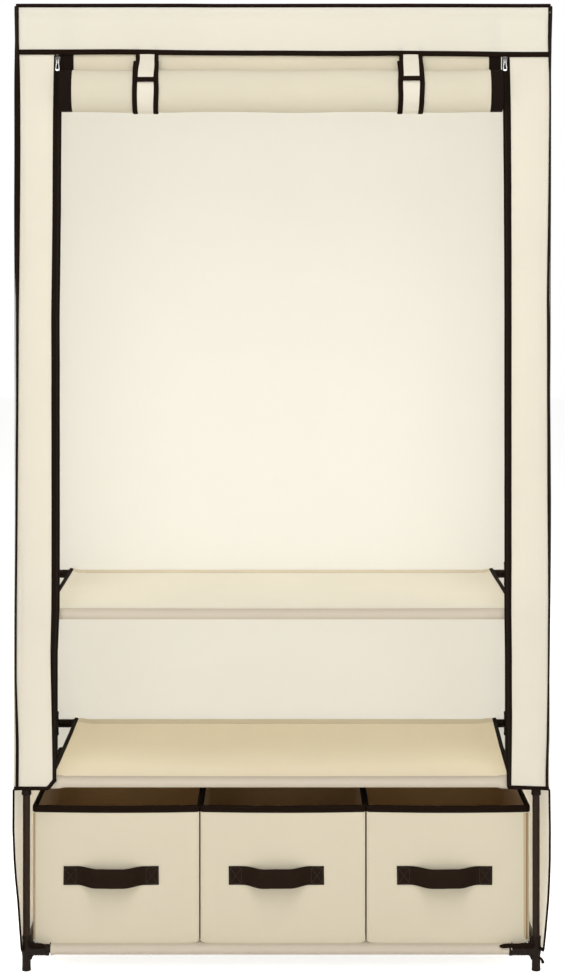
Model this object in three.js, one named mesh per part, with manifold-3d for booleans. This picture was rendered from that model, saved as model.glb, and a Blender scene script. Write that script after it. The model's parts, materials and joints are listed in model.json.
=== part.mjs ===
// Portable fabric wardrobe: a frame of steel tubes in moulded corner connectors, a cloth cover whose
// front door rolls up under a valance, three cloth shelves and three pull-out storage bins.
// Millimetres. X runs to the right, Y to the back and Z up. The floor is at Z = 0.

import * as THREE from 'three';
import { mergeVertices } from 'three/addons/utils/BufferGeometryUtils.js';
import Module from 'manifold-3d';

const wasm = await Module();
wasm.setup();

// The cover over everything
const coverWidth = 878;
const coverDepth = 490;
const coverHeight = 1588;
const clothThickness = 1.2;
const valanceHeight = 80;
const coverBottom = 40;
const sideEase = 9.8;
const frontEase = 12.8;
const sideDip = 3;
const hemPull = 8;
const hemPullHeight = 190;

// The gap left between pieces that touch, and how far a cut runs past a face
const clearance = 0.3;
const cutOverrun = 2;

// Steel tubes and the moulded connectors they push into
const tubeDiameter = 12;
const tubeWall = 0.8;
const connectorDiameter = 16;
const socketReach = 40;
const socketStop = 12;
const sleeveReach = 22;
const tubeSides = 12;

// Feet, and the post's seat in the connector above each
const footHeight = 27;
const footDiameter = 14;
const postSeatDepth = 5;

// Spaces between the shelf levels
const binHeadroom = 30;
const shelfSpacing = 277;

// Hanger rail, hung below the top side tubes so that a hook passes over it
const railSleeveLength = 30;
const railDrop = 40;

// Front strips beside the doorway, with their zip tapes
const stripWidth = 71;
const stripCornerCutWidth = 17;
const stripCornerCutHeight = 16;
const stripRipple = 1.5;
const zipGap = 7.5;

// Door rolled up under the valance
const rollHeight = 72;
const rollDepth = 52;
const rollDrop = 24;
const rollRunClearance = 2;
const rollCore = 7;
const rollTurns = 8.5;
const rollStepsPerTurn = 20;

// Tie straps round the roll
const strapWidth = 40;
const strapThickness = 1.2;
const strapLeftOffset = 222;
const strapRightOffset = 208;
const strapTuck = 15;
const strapRearDrop = 8;
const strapSteps = 18;

// Zip sliders and their pulls
const sliderWidth = 9;
const sliderLength = 12;
const sliderThickness = 4.5;
const sliderTaper = 1.6;
const sliderDrop = 4;
const sliderRunClearance = 1;
const earThickness = 1.2;
const earHeight = 3.8;
const pinDiameter = 1.8;
const pinStandOff = 2.6;
const eyeDiameter = 4.4;
const eyeWidth = 3;
const pullNeck = 3.2;
const pullLength = 18;
const pullTopWidth = 3.6;
const pullBottomWidth = 7;
const pullRim = 1.3;
const pullThickness = 1;

// Storage bins and their webbing handles
const binHeight = 230;
const binWall = 2.5;
const binCorner = 5;
const binGap = 1.5;
const binSideClearance = 1.9;
const binEndClearance = 2;
const handleLength = 155;
const handleWidth = 27;
const handleThickness = 1.8;
const handleTail = 27;
const handleRise = 19;
const handleSag = 5;
const handleMidHeight = 110;
const leftHandleOffCentre = 8;
const middleHandleOffCentre = 12;
const rightHandleOffCentre = 9;

// Sizes and levels that follow from those above
const tubeRadius = tubeDiameter / 2;
const connectorRadius = connectorDiameter / 2;
const boreRadius = tubeRadius + clearance;
const halfWidth = coverWidth / 2;
const halfDepth = coverDepth / 2;
const postX = halfWidth - clothThickness - sideEase - connectorRadius;
const postY = halfDepth - clothThickness - frontEase - connectorRadius;
const shelfHalfSpan = postX - socketReach - clearance;
const roofUnderside = coverHeight - clothThickness;
const panelTop = roofUnderside - clearance;
const bottomLevel = footHeight + connectorRadius;
const binFloor = bottomLevel + connectorRadius + clearance;
const lowerLevel = binFloor + binHeight + binHeadroom + connectorRadius;
const upperLevel = lowerLevel + shelfSpacing;
const topLevel = panelTop - connectorRadius;
const valanceBottom = coverHeight - valanceHeight;
const valanceInside = halfDepth - clothThickness;
const stripFront = valanceInside - clearance;
const stripInside = halfWidth - stripWidth;
const doorHalfWidth = stripInside - zipGap;
const doorFront = stripFront - strapThickness - clearance;
const rollCentreY = -(postY + connectorRadius + rollRunClearance + rollDepth / 2);
const rollCentreZ = valanceBottom - rollDrop - rollHeight / 2;
const strapReach = clearance + strapThickness;
const frontReach = rollDepth / 2 - rollCentreY + strapReach;
const corners = [
  { name: 'front_left', x: -1, y: -1 },
  { name: 'front_right', x: 1, y: -1 },
  { name: 'rear_left', x: -1, y: 1 },
  { name: 'rear_right', x: 1, y: 1 },
];
const levels = [
  { name: 'bottom', z: bottomLevel },
  { name: 'lower', z: lowerLevel },
  { name: 'upper', z: upperLevel },
  { name: 'top', z: topLevel },
];

const cream = new THREE.MeshStandardMaterial({ color: 0xf0e7d3, roughness: 0.92, metalness: 0 });
const doorCream = new THREE.MeshStandardMaterial({ color: 0xe7dbc2, roughness: 0.92, metalness: 0 });
const binCream = new THREE.MeshStandardMaterial({ color: 0xdfd0b8, roughness: 0.95, metalness: 0 });
const shelfCream = new THREE.MeshStandardMaterial({ color: 0xe6dbc0, roughness: 0.92, metalness: 0 });
const webbing = new THREE.MeshStandardMaterial({ color: 0x291f17, roughness: 0.8, metalness: 0 });
const tubePaint = new THREE.MeshStandardMaterial({ color: 0x3a2f28, roughness: 0.4, metalness: 0.2 });
const moulding = new THREE.MeshStandardMaterial({ color: 0x282019, roughness: 0.55, metalness: 0 });
const zinc = new THREE.MeshStandardMaterial({ color: 0xb9b4ab, roughness: 0.3, metalness: 1 });
const darkZinc = new THREE.MeshStandardMaterial({ color: 0x31271f, roughness: 0.45, metalness: 0.4 });

const lerp = THREE.MathUtils.lerp;

// Turns a geometry made along Y so that it runs along the named axis
function alongAxis(geometry, axis) {
  if (axis === 'x') geometry.rotateZ(-Math.PI / 2);
  if (axis === 'z') geometry.rotateX(Math.PI / 2);
  return geometry;
}

// A closed geometry whose faces all point out, whichever way they were wound
function facingOut(geometry) {
  const { index, attributes: { position } } = geometry;
  const [a, b, c] = [new THREE.Vector3(), new THREE.Vector3(), new THREE.Vector3()];
  let volume = 0;
  for (let i = 0; i < index.count; i += 3) {
    a.fromBufferAttribute(position, index.getX(i));
    b.fromBufferAttribute(position, index.getX(i + 1));
    c.fromBufferAttribute(position, index.getX(i + 2));
    volume += a.dot(b.cross(c));
  }
  if (volume < 0) {
    for (let i = 0; i < index.count; i += 3) {
      const first = index.getX(i);
      index.setX(i, index.getX(i + 1));
      index.setX(i + 1, first);
    }
  }
  return geometry;
}

function toSolid(geometry) {
  geometry.deleteAttribute('normal');
  geometry.deleteAttribute('uv');
  const { index, attributes: { position } } = facingOut(mergeVertices(geometry));
  return new wasm.Manifold(new wasm.Mesh({
    numProp: 3,
    vertProperties: new Float32Array(position.array),
    triVerts: new Uint32Array(index.array),
  }));
}

function toGeometry(solid) {
  const mesh = solid.getMesh();
  const geometry = new THREE.BufferGeometry();
  geometry.setAttribute('position', new THREE.BufferAttribute(mesh.vertProperties, 3));
  geometry.setIndex(new THREE.BufferAttribute(mesh.triVerts, 1));
  geometry.computeVertexNormals();
  return geometry;
}

function joined(solids) {
  return solids.reduce((whole, solid) => whole.add(solid));
}

// A round bar from one place to another on its axis, with the same flats as the tubes
function bar(radius, from, to, axis) {
  const geometry = new THREE.CylinderGeometry(radius, radius, Math.abs(to - from), tubeSides);
  geometry.translate(0, (from + to) / 2, 0);
  return toSolid(alongAxis(geometry, axis));
}

// A hollow tube, open at both ends, centred on the origin
function tube(length, axis) {
  const inner = tubeRadius - tubeWall;
  const profile = [
    new THREE.Vector2(inner, -length / 2),
    new THREE.Vector2(tubeRadius, -length / 2),
    new THREE.Vector2(tubeRadius, length / 2),
    new THREE.Vector2(inner, length / 2),
    new THREE.Vector2(inner, -length / 2),
  ];
  const geometry = new THREE.LatheGeometry(profile, tubeSides);
  geometry.deleteAttribute('normal');
  geometry.deleteAttribute('uv');
  return alongAxis(facingOut(mergeVertices(geometry)), axis);
}

// A closed sheet of cloth: a grid of places, half its thickness to each side of them
function clothSheet({ uShares, vShares, facing, thickness, at }) {
  const half = facing.clone().multiplyScalar(thickness / 2);
  const grid = vShares.map((v) => uShares.map((u) => at(u, v)));
  const middle = grid.flat();
  const positions = [
    ...middle.flatMap((p) => p.clone().add(half).toArray()),
    ...middle.flatMap((p) => p.clone().sub(half).toArray()),
  ];
  const columns = uShares.length;
  const rows = vShares.length;
  const behind = middle.length;
  const index = [];
  const quad = (a, b, c, d) => index.push(a, b, c, a, c, d);
  for (let row = 0; row + 1 < rows; row++) {
    for (let column = 0; column + 1 < columns; column++) {
      const a = row * columns + column;
      const b = a + columns;
      quad(a, a + 1, b + 1, b);
      quad(behind + b, behind + b + 1, behind + a + 1, behind + a);
    }
  }
  for (let column = 0; column + 1 < columns; column++) {
    const low = column;
    const high = (rows - 1) * columns + column;
    quad(behind + low, behind + low + 1, low + 1, low);
    quad(high, high + 1, behind + high + 1, behind + high);
  }
  for (let row = 0; row + 1 < rows; row++) {
    const first = row * columns;
    const last = first + columns - 1;
    quad(first, first + columns, behind + first + columns, behind + first);
    quad(behind + last, behind + last + columns, last + columns, last);
  }
  const geometry = new THREE.BufferGeometry();
  geometry.setAttribute('position', new THREE.Float32BufferAttribute(positions, 3));
  geometry.setIndex(index);
  facingOut(geometry).computeVertexNormals();
  return geometry;
}

function evenShares(parts) {
  return Array.from({ length: parts + 1 }, (_, i) => i / parts);
}

// A section drawn in Y and Z, drawn out along X and centred there
function alongX(shape, length, curveSegments = 1) {
  const geometry = new THREE.ExtrudeGeometry(shape, {
    depth: length, bevelEnabled: false, curveSegments,
  });
  geometry.translate(0, 0, -length / 2);
  const toWorld = new THREE.Matrix4().makeBasis(
    new THREE.Vector3(0, 1, 0), new THREE.Vector3(0, 0, 1), new THREE.Vector3(1, 0, 0),
  );
  return geometry.applyMatrix4(toWorld);
}

// The outline of a strip of even thickness along a line of points
function stripOutline(points, thickness) {
  const sides = [[], []];
  points.forEach((point, i) => {
    const before = points[Math.max(i - 1, 0)];
    const after = points[Math.min(i + 1, points.length - 1)];
    const along = after.clone().sub(before).normalize();
    const out = new THREE.Vector2(-along.y, along.x).multiplyScalar(thickness / 2);
    sides[0].push(point.clone().add(out));
    sides[1].unshift(point.clone().sub(out));
  });
  return new THREE.Shape(sides.flat());
}

function piece(name, geometry, material, x = 0, y = 0, z = 0) {
  const mesh = new THREE.Mesh(geometry, material);
  mesh.name = name;
  mesh.position.set(x, y, z);
  return mesh;
}

// A corner connector round a post, with a socket towards each neighbouring post. Its own
// origin is where the three axes meet.
function connector(corner, level) {
  const atFoot = level === bottomLevel;
  const atTop = level === topLevel;
  const sleeveBottom = atFoot ? -connectorRadius - clothThickness : -sleeveReach;
  const sleeveTop = atTop ? connectorRadius : sleeveReach;
  const boreBottom = atFoot ? -postSeatDepth : -sleeveReach - cutOverrun;
  const boreTop = atTop ? postSeatDepth : sleeveReach + cutOverrun;
  const inX = -corner.x;
  const inY = -corner.y;
  const outer = [
    bar(connectorRadius, sleeveBottom, sleeveTop, 'z'),
    bar(connectorRadius, 0, inX * socketReach, 'x'),
    bar(connectorRadius, 0, inY * socketReach, 'y'),
  ];
  if (atFoot) outer.push(bar(footDiameter / 2, -level, 0, 'z'));
  const bores = [
    bar(boreRadius, boreBottom, boreTop, 'z'),
    bar(boreRadius, inX * socketStop, inX * (socketReach + cutOverrun), 'x'),
    bar(boreRadius, inY * socketStop, inY * (socketReach + cutOverrun), 'y'),
  ];
  return toGeometry(joined(outer).subtract(joined(bores)));
}

function buildFrame() {
  const frame = new THREE.Group();
  const postBottom = bottomLevel - postSeatDepth + clearance;
  const postTop = topLevel + postSeatDepth - clearance;
  const inset = socketStop + clearance;
  for (const corner of corners) {
    const [x, y] = [corner.x * postX, corner.y * postY];
    frame.add(piece(`post_${corner.name}`, tube(postTop - postBottom, 'z'), tubePaint,
      x, y, (postBottom + postTop) / 2));
    for (const level of levels) {
      frame.add(piece(`connector_${level.name}_${corner.name}`, connector(corner, level.z),
        moulding, x, y, level.z));
    }
  }
  for (const level of levels) {
    for (const [name, y] of [['front', -postY], ['rear', postY]]) {
      frame.add(piece(`tube_${level.name}_${name}`, tube(2 * (postX - inset), 'x'), tubePaint,
        0, y, level.z));
    }
    for (const [name, x] of [['left', -postX], ['right', postX]]) {
      frame.add(piece(`tube_${level.name}_${name}`, tube(2 * (postY - inset), 'y'), tubePaint,
        x, 0, level.z));
    }
  }
  frame.add(piece('hanger_rail', hangerRail(), tubePaint, 0, 0, topLevel - railDrop));
  return frame;
}

// The rail with a hanger at each end: a socket, a neck and a sleeve over the top side tube. Its
// own origin is on the rail's axis.
function hangerRail() {
  const reach = postX + connectorRadius;
  const outer = [bar(tubeRadius, -postX, postX, 'x')];
  const bores = [bar(tubeRadius - tubeWall, -reach - cutOverrun, reach + cutOverrun, 'x')];
  for (const side of [-1, 1]) {
    const place = [side * postX, 0, 0];
    const sleeve = bar(connectorRadius, -railSleeveLength / 2, railSleeveLength / 2, 'y');
    const cut = railSleeveLength / 2 + cutOverrun;
    outer.push(bar(connectorRadius, side * (postX - socketReach), side * reach, 'x'));
    outer.push(bar(tubeRadius, 0, railDrop, 'z').translate(place));
    outer.push(sleeve.translate([side * postX, 0, railDrop]));
    bores.push(bar(boreRadius, -cut, cut, 'y').translate([side * postX, 0, railDrop]));
  }
  return toGeometry(joined(outer).subtract(joined(bores)));
}

// Roof and valance, one cloth folded over the front edge
function coverTop() {
  const outline = [
    [-halfDepth, valanceBottom], [-valanceInside, valanceBottom],
    [-valanceInside, roofUnderside], [halfDepth, roofUnderside],
    [halfDepth, coverHeight], [-halfDepth, coverHeight],
  ];
  return alongX(new THREE.Shape(outline.map(([y, z]) => new THREE.Vector2(y, z))), coverWidth);
}

// A side panel: it dips in a little between the posts, and its loose lower front corner is
// drawn in towards the foot
function coverSide(side) {
  return clothSheet({
    uShares: evenShares(6),
    vShares: [0, 0.03, 0.06, 0.09, 0.125, 0.25, 0.4, 0.55, 0.7, 0.85, 1],
    facing: new THREE.Vector3(side, 0, 0),
    thickness: clothThickness,
    at: (u, v) => {
      const z = lerp(coverBottom, panelTop, v);
      const low = Math.max(0, 1 - (z - coverBottom) / hemPullHeight);
      const pull = hemPull * low ** 1.3 * (1 - u);
      const dip = sideDip * Math.sin(Math.PI * u) * Math.sin(Math.PI * v);
      const x = side * (halfWidth - clothThickness / 2 - Math.max(pull, dip));
      return new THREE.Vector3(x, lerp(-stripFront, halfDepth, u), z);
    },
  });
}

// A front strip with its zip tape. It ripples a little, and its lower inner corner is cut off.
function coverStrip(side) {
  const bottom = lowerLevel - connectorRadius;
  const outside = halfWidth - clothThickness - clearance;
  const cutShare = stripCornerCutHeight / (panelTop - bottom);
  return clothSheet({
    uShares: evenShares(2),
    vShares: [0, cutShare, ...evenShares(12).slice(1)],
    facing: new THREE.Vector3(0, -1, 0),
    thickness: clothThickness,
    at: (u, v) => {
      const cut = stripCornerCutWidth * Math.max(0, 1 - v / cutShare);
      const sway = stripRipple * (1 - v) * Math.sin(4 * Math.PI * v);
      const x = lerp(stripInside + cut + sway, outside, u);
      const y = clothThickness / 2 - stripFront + stripRipple * Math.sin(3 * Math.PI * v) ** 2;
      return new THREE.Vector3(side * x, y, lerp(bottom, panelTop, v));
    },
  });
}

function buildCover() {
  const cover = new THREE.Group();
  const panelHeight = panelTop - coverBottom;
  const backWidth = 2 * (halfWidth - clothThickness - clearance);
  cover.add(piece('cover_top', coverTop(), cream));
  cover.add(piece('cover_back', new THREE.BoxGeometry(backWidth, clothThickness, panelHeight),
    cream, 0, halfDepth - clothThickness / 2, (panelTop + coverBottom) / 2));
  for (const [name, side] of [['left', -1], ['right', 1]]) {
    cover.add(piece(`cover_side_${name}`, coverSide(side), cream));
    cover.add(piece(`cover_front_strip_${name}`, coverStrip(side), cream));
  }
  return cover;
}

// The height of the roll's surface, above its own axis, at a distance in front of or behind it
function rollRise(offset) {
  return (rollHeight / 2) * Math.sqrt(1 - (offset / (rollDepth / 2)) ** 2);
}

// The rolled door's section: one strip of cloth wound inwards from where the flat door meets it,
// down behind the roll, under it and up its front
function rollOutline() {
  const doorOffset = -doorFront + clothThickness / 2 - rollCentreY;
  const startAngle = Math.acos(doorOffset / (rollDepth / 2));
  const pitch = (rollDepth / 2 - rollCore) / rollTurns;
  const steps = rollTurns * rollStepsPerTurn;
  const outer = [];
  const inner = [];
  for (let step = 0; step <= steps; step++) {
    const turns = step / rollStepsPerTurn;
    const angle = startAngle - 2 * Math.PI * turns;
    const drawnIn = pitch * turns;
    for (const [side, depth] of [[outer, drawnIn], [inner, drawnIn + clothThickness]]) {
      const across = rollDepth / 2 - depth;
      const up = rollHeight / 2 - depth;
      side.push(new THREE.Vector2(across * Math.cos(angle), up * Math.sin(angle)));
    }
  }
  const gaps = outer.slice(rollStepsPerTurn).flatMap((point, i) => [
    point.distanceTo(inner[i]),
    point.distanceTo(inner[Math.max(i - 1, 0)]),
    point.distanceTo(inner[i + 1]),
  ]);
  console.log(`least gap between the rolled door's turns: ${Math.min(...gaps).toFixed(2)} mm`);
  return new THREE.Shape([...outer, ...inner.reverse()]);
}

// A tie strap: out from behind the valance, down the roll's front, under it and up behind the door
function strapOutline() {
  const reach = clearance + strapThickness / 2;
  const across = rollDepth / 2 + reach;
  const up = rollHeight / 2 + reach;
  const frontTop = new THREE.Vector2(-stripFront + strapThickness / 2 - rollCentreY,
    valanceBottom - rollCentreZ);
  const rearTop = new THREE.Vector2(clothThickness + reach - doorFront - rollCentreY,
    frontTop.y - strapRearDrop);
  // The angle at which a straight line from a place outside the oval touches it
  const touch = (from, turn) => {
    const [a, b] = [from.x / across, from.y / up];
    return Math.atan2(b, a) + turn * Math.acos(1 / Math.hypot(a, b));
  };
  const start = touch(frontTop, 1);
  const end = touch(rearTop, -1) + 2 * Math.PI;
  const points = [frontTop.clone().setY(frontTop.y + strapTuck), frontTop];
  for (const share of evenShares(strapSteps)) {
    const angle = lerp(start, end, share);
    points.push(new THREE.Vector2(across * Math.cos(angle), up * Math.sin(angle)));
  }
  points.push(rearTop);
  return stripOutline(points, strapThickness);
}

function buildDoor() {
  const door = new THREE.Group();
  const sheetBottom = rollCentreZ + rollRise(doorFront + rollCentreY) + clearance;
  door.add(piece('door_sheet',
    new THREE.BoxGeometry(2 * doorHalfWidth, clothThickness, panelTop - sheetBottom), doorCream,
    0, clothThickness / 2 - doorFront, (panelTop + sheetBottom) / 2));
  const rolled = new THREE.Group();
  rolled.position.set(0, rollCentreY, rollCentreZ);
  rolled.add(piece('door_roll', alongX(rollOutline(), 2 * doorHalfWidth), doorCream));
  rolled.add(piece('tie_strap_left', alongX(strapOutline(), strapWidth), webbing, -strapLeftOffset));
  rolled.add(piece('tie_strap_right', alongX(strapOutline(), strapWidth), webbing, strapRightOffset));
  door.add(rolled);
  return door;
}

// A zip slider: a tapered body with two ears on its front and a pin between them. Its own
// origin is on its back face, at the middle of its height.
function sliderBody() {
  const outline = new THREE.Shape([
    new THREE.Vector2(-sliderWidth / 2, sliderLength / 2),
    new THREE.Vector2(sliderTaper - sliderWidth / 2, -sliderLength / 2),
    new THREE.Vector2(sliderWidth / 2 - sliderTaper, -sliderLength / 2),
    new THREE.Vector2(sliderWidth / 2, sliderLength / 2),
  ]);
  const body = new THREE.ExtrudeGeometry(outline, { depth: sliderThickness, bevelEnabled: false });
  const earReach = pinStandOff + earHeight / 2;
  const earPlace = eyeWidth / 2 + clearance + earThickness / 2;
  const solids = [toSolid(body.rotateX(Math.PI / 2))];
  for (const side of [-1, 1]) {
    const ear = new THREE.BoxGeometry(earThickness, earReach + cutOverrun, earHeight);
    ear.translate(side * earPlace, (cutOverrun - earReach) / 2 - sliderThickness, 0);
    solids.push(toSolid(ear));
  }
  const pin = bar(pinDiameter / 2, -earPlace, earPlace, 'x');
  solids.push(pin.translate([0, -sliderThickness - pinStandOff, 0]));
  return toGeometry(joined(solids));
}

// A pull that hangs from the slider's pin: an eye, a neck and a plate like a letter A. Its own
// origin is the pin's axis.
function pullPlate() {
  const eye = bar(eyeDiameter / 2, -eyeWidth / 2, eyeWidth / 2, 'x');
  const hole = bar(pinDiameter / 2 + clearance, -eyeWidth, eyeWidth, 'x');
  const neck = new THREE.BoxGeometry(eyeWidth, pullThickness, pullNeck + pullRim);
  neck.translate(0, 0, -(pullNeck + pullRim) / 2);
  const plate = new THREE.Shape([
    new THREE.Vector2(-pullTopWidth / 2, -pullNeck),
    new THREE.Vector2(-pullBottomWidth / 2, -pullLength),
    new THREE.Vector2(pullBottomWidth / 2, -pullLength),
    new THREE.Vector2(pullTopWidth / 2, -pullNeck),
  ]);
  const slotTop = pullNeck + 4 * pullRim;
  plate.holes.push(new THREE.Path([
    new THREE.Vector2(0, -slotTop),
    new THREE.Vector2(pullRim - pullBottomWidth / 2, pullRim - pullLength),
    new THREE.Vector2(pullBottomWidth / 2 - pullRim, pullRim - pullLength),
  ]));
  const flat = new THREE.ExtrudeGeometry(plate, { depth: pullThickness, bevelEnabled: false });
  flat.rotateX(Math.PI / 2).translate(0, pullThickness / 2, 0);
  return toGeometry(joined([eye, toSolid(neck), toSolid(flat)]).subtract(hole));
}

function buildZips() {
  const zips = new THREE.Group();
  const sliderX = doorHalfWidth + sliderRunClearance + sliderWidth / 2;
  const sliderZ = valanceBottom - sliderDrop - sliderLength / 2;
  for (const [name, side] of [['left', -1], ['right', 1]]) {
    const zip = new THREE.Group();
    zip.position.set(side * sliderX, -(stripFront + clearance), sliderZ);
    zip.add(piece(`zip_slider_${name}`, sliderBody(), darkZinc));
    zip.add(piece(`zip_pull_${name}`, pullPlate(), zinc, 0, -(sliderThickness + pinStandOff), 0));
    zips.add(zip);
  }
  return zips;
}

// A shelf cloth with a sleeve round the front tube and another round the rear tube. Its top is
// level with the tops of the sockets beside it.
function shelfCloth() {
  const shape = new THREE.Shape();
  const thickness = connectorRadius - boreRadius;
  const under = Math.asin((connectorRadius - thickness) / connectorRadius);
  shape.absarc(postY, 0, connectorRadius, Math.PI / 2, -Math.PI - under, true);
  shape.absarc(-postY, 0, connectorRadius, under, Math.PI / 2 - 2 * Math.PI, true);
  for (const y of [-postY, postY]) {
    shape.holes.push(new THREE.Path().absarc(y, 0, boreRadius, 0, 2 * Math.PI, false));
  }
  return alongX(shape, 2 * shelfHalfSpan, tubeSides);
}

function buildShelves() {
  const shelves = new THREE.Group();
  for (const level of levels.slice(0, 3)) {
    shelves.add(piece(`${level.name}_shelf`, shelfCloth(), shelfCream, 0, 0, level.z));
  }
  return shelves;
}

function roundedRectangle(width, depth, radius) {
  const shape = new THREE.Shape();
  const [x, y] = [width / 2 - radius, depth / 2 - radius];
  shape.absarc(x, y, radius, 0, Math.PI / 2, false);
  shape.absarc(-x, y, radius, Math.PI / 2, Math.PI, false);
  shape.absarc(-x, -y, radius, Math.PI, 1.5 * Math.PI, false);
  shape.absarc(x, -y, radius, 1.5 * Math.PI, 2 * Math.PI, false);
  return shape;
}

// An open-topped bin. Its own origin is at the middle of its underside.
function binShell(width, depth) {
  const block = (inset, from, to) => {
    const shape = roundedRectangle(width - 2 * inset, depth - 2 * inset, binCorner - inset);
    const settings = { depth: to - from, bevelEnabled: false, curveSegments: 3 };
    return toSolid(new THREE.ExtrudeGeometry(shape, settings).translate(0, 0, from));
  };
  return toGeometry(block(0, 0, binHeight).subtract(block(binWall, binWall, binHeight + cutOverrun)));
}

// A webbing handle with flat sewn tails and a loose middle that stands out and sags. Its own
// origin is on the bin's face, at the handle's middle.
function webbingHandle() {
  const slackHalf = handleLength / 2 - handleTail;
  return clothSheet({
    uShares: [0, handleTail / handleLength, ...evenShares(12).slice(1, -1).map(
      (share) => lerp(handleTail, handleLength - handleTail, share) / handleLength,
    ), 1 - handleTail / handleLength, 1],
    vShares: [0, 1],
    facing: new THREE.Vector3(0, -1, 0),
    thickness: handleThickness,
    at: (u, v) => {
      const x = lerp(-handleLength / 2, handleLength / 2, u);
      const lift = Math.abs(x) < slackHalf ? (1 + Math.cos(Math.PI * x / slackHalf)) / 2 : 0;
      const y = -(clearance + handleThickness / 2 + handleRise * Math.sqrt(lift));
      return new THREE.Vector3(x, y, handleWidth * (v - 0.5) - handleSag * lift);
    },
  });
}

function buildBins() {
  const bins = new THREE.Group();
  const span = 2 * (postX - connectorRadius - binSideClearance);
  const width = (span - 2 * binGap) / 3;
  const depth = 2 * (postY - connectorRadius - binEndClearance);
  const places = [
    { name: 'left', step: -1, offCentre: leftHandleOffCentre },
    { name: 'middle', step: 0, offCentre: middleHandleOffCentre },
    { name: 'right', step: 1, offCentre: rightHandleOffCentre },
  ];
  for (const { name, step, offCentre } of places) {
    const bin = new THREE.Group();
    bin.position.set(step * (width + binGap), 0, binFloor);
    bin.add(piece(`bin_${name}`, binShell(width, depth), binCream));
    bin.add(piece(`bin_handle_${name}`, webbingHandle(), webbing,
      -offCentre, -depth / 2, handleMidHeight));
    bins.add(bin);
  }
  return bins;
}

// The whole stands with the middle of its footprint over the origin
const wardrobe = new THREE.Group();
wardrobe.name = 'portable_fabric_wardrobe';
wardrobe.add(buildFrame(), buildCover(), buildDoor(), buildZips(), buildShelves(), buildBins());
wardrobe.position.y = (frontReach - halfDepth) / 2;

export default wardrobe;
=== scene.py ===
"""Cloth wardrobe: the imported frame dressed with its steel, plastic, cloth, trim and zips."""

import json
import math

import bpy
import numpy as np
from bpy.props import FloatProperty, FloatVectorProperty, IntProperty, PointerProperty
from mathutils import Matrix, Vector


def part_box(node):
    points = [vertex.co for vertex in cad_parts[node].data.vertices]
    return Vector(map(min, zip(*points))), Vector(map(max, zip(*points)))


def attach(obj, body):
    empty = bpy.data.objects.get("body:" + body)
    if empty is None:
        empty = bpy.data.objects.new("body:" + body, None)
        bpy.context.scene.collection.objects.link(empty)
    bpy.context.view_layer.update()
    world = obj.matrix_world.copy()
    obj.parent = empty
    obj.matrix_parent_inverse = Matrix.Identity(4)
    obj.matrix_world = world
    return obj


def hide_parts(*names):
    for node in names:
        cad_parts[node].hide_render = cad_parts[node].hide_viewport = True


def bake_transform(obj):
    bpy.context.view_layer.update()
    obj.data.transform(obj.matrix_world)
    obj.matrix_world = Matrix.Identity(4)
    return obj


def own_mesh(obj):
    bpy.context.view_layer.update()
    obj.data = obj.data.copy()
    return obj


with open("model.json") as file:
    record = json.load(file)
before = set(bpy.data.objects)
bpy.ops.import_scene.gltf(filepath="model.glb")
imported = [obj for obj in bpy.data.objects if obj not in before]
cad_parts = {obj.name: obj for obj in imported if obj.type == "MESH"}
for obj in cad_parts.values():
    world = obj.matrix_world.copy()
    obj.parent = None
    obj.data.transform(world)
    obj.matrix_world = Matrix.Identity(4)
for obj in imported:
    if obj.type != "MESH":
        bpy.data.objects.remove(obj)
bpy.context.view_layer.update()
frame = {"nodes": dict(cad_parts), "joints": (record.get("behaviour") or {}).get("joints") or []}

bl_info = {
    "name": "Cloth wardrobe",
    "version": (1, 0, 0),
    "blender": (4, 5, 0),
    "location": "View3D > Sidebar > Wardrobe",
    "description": "Builds a portable cloth wardrobe piece by piece",
    "category": "Object",
}

MM = 0.001
SIDES = {"left": -1, "right": 1}
CLOTH = 1.2 * MM


def paint(red, green, blue):
    """A screen colour, each part 0 to 255, in linear values."""
    def linear(value):
        share = value / 255
        return share / 12.92 if share <= 0.04045 else ((share + 0.055) / 1.055) ** 2.4
    return (linear(red), linear(green), linear(blue))


def tint(colour, factor):
    """The colour made darker or lighter."""
    return tuple(min(part * factor, 1.0) for part in colour)


def corners(grid):
    """The four corners of each cell of a grid, in order round the cell."""
    cells = [grid[:-1, :-1], grid[:-1, 1:], grid[1:, 1:], grid[1:, :-1]]
    return np.stack(cells, -1).reshape(-1, 4)


def unit(vectors):
    """The vectors, each with a length of one."""
    return vectors / np.maximum(np.linalg.norm(vectors, axis=-1, keepdims=True), 1e-12)


def travel(path):
    """The distance along a path at each of its points."""
    steps = np.linalg.norm(np.diff(path, axis=0), axis=1)
    return np.concatenate([[0.0], np.cumsum(steps)])


def join(*parts):
    """Points from their coordinates, each of them an array or one number for all."""
    return np.stack(np.broadcast_arrays(*parts), -1)


def read_off(rows, gone, stations):
    """The rows between a path's points, at distances along it."""
    return np.stack([np.interp(stations, gone, column) for column in rows.T], -1)


def resample(path, spacing):
    """The path again, with points at an even spacing."""
    path = np.asarray(path, float)
    gone = travel(path)
    count = max(2, int(round(gone[-1] / spacing)) + 1)
    stations = np.linspace(0, gone[-1], count)
    return read_off(path, gone, stations)


def soften(path, rounds=3):
    """Rounds a path's bends by moving each point towards its neighbours."""
    path = path.copy()
    for _ in range(rounds):
        path[1:-1] = path[1:-1] * 0.5 + (path[:-2] + path[2:]) * 0.25
    return path


def wander(position, seed, waves=4, pitch=0.4):
    """A smooth wander between -1 and 1 along a position, the same on each run."""
    chance = np.random.default_rng(seed)
    total = np.zeros_like(np.asarray(position, float))
    weight = 0.0
    for wave in range(1, waves + 1):
        rate = 2 * math.pi * wave / pitch * chance.uniform(0.7, 1.2)
        total = total + np.sin(position * rate + chance.uniform(0, 6.28)) / wave
        weight += 1 / wave
    return total / weight


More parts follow.
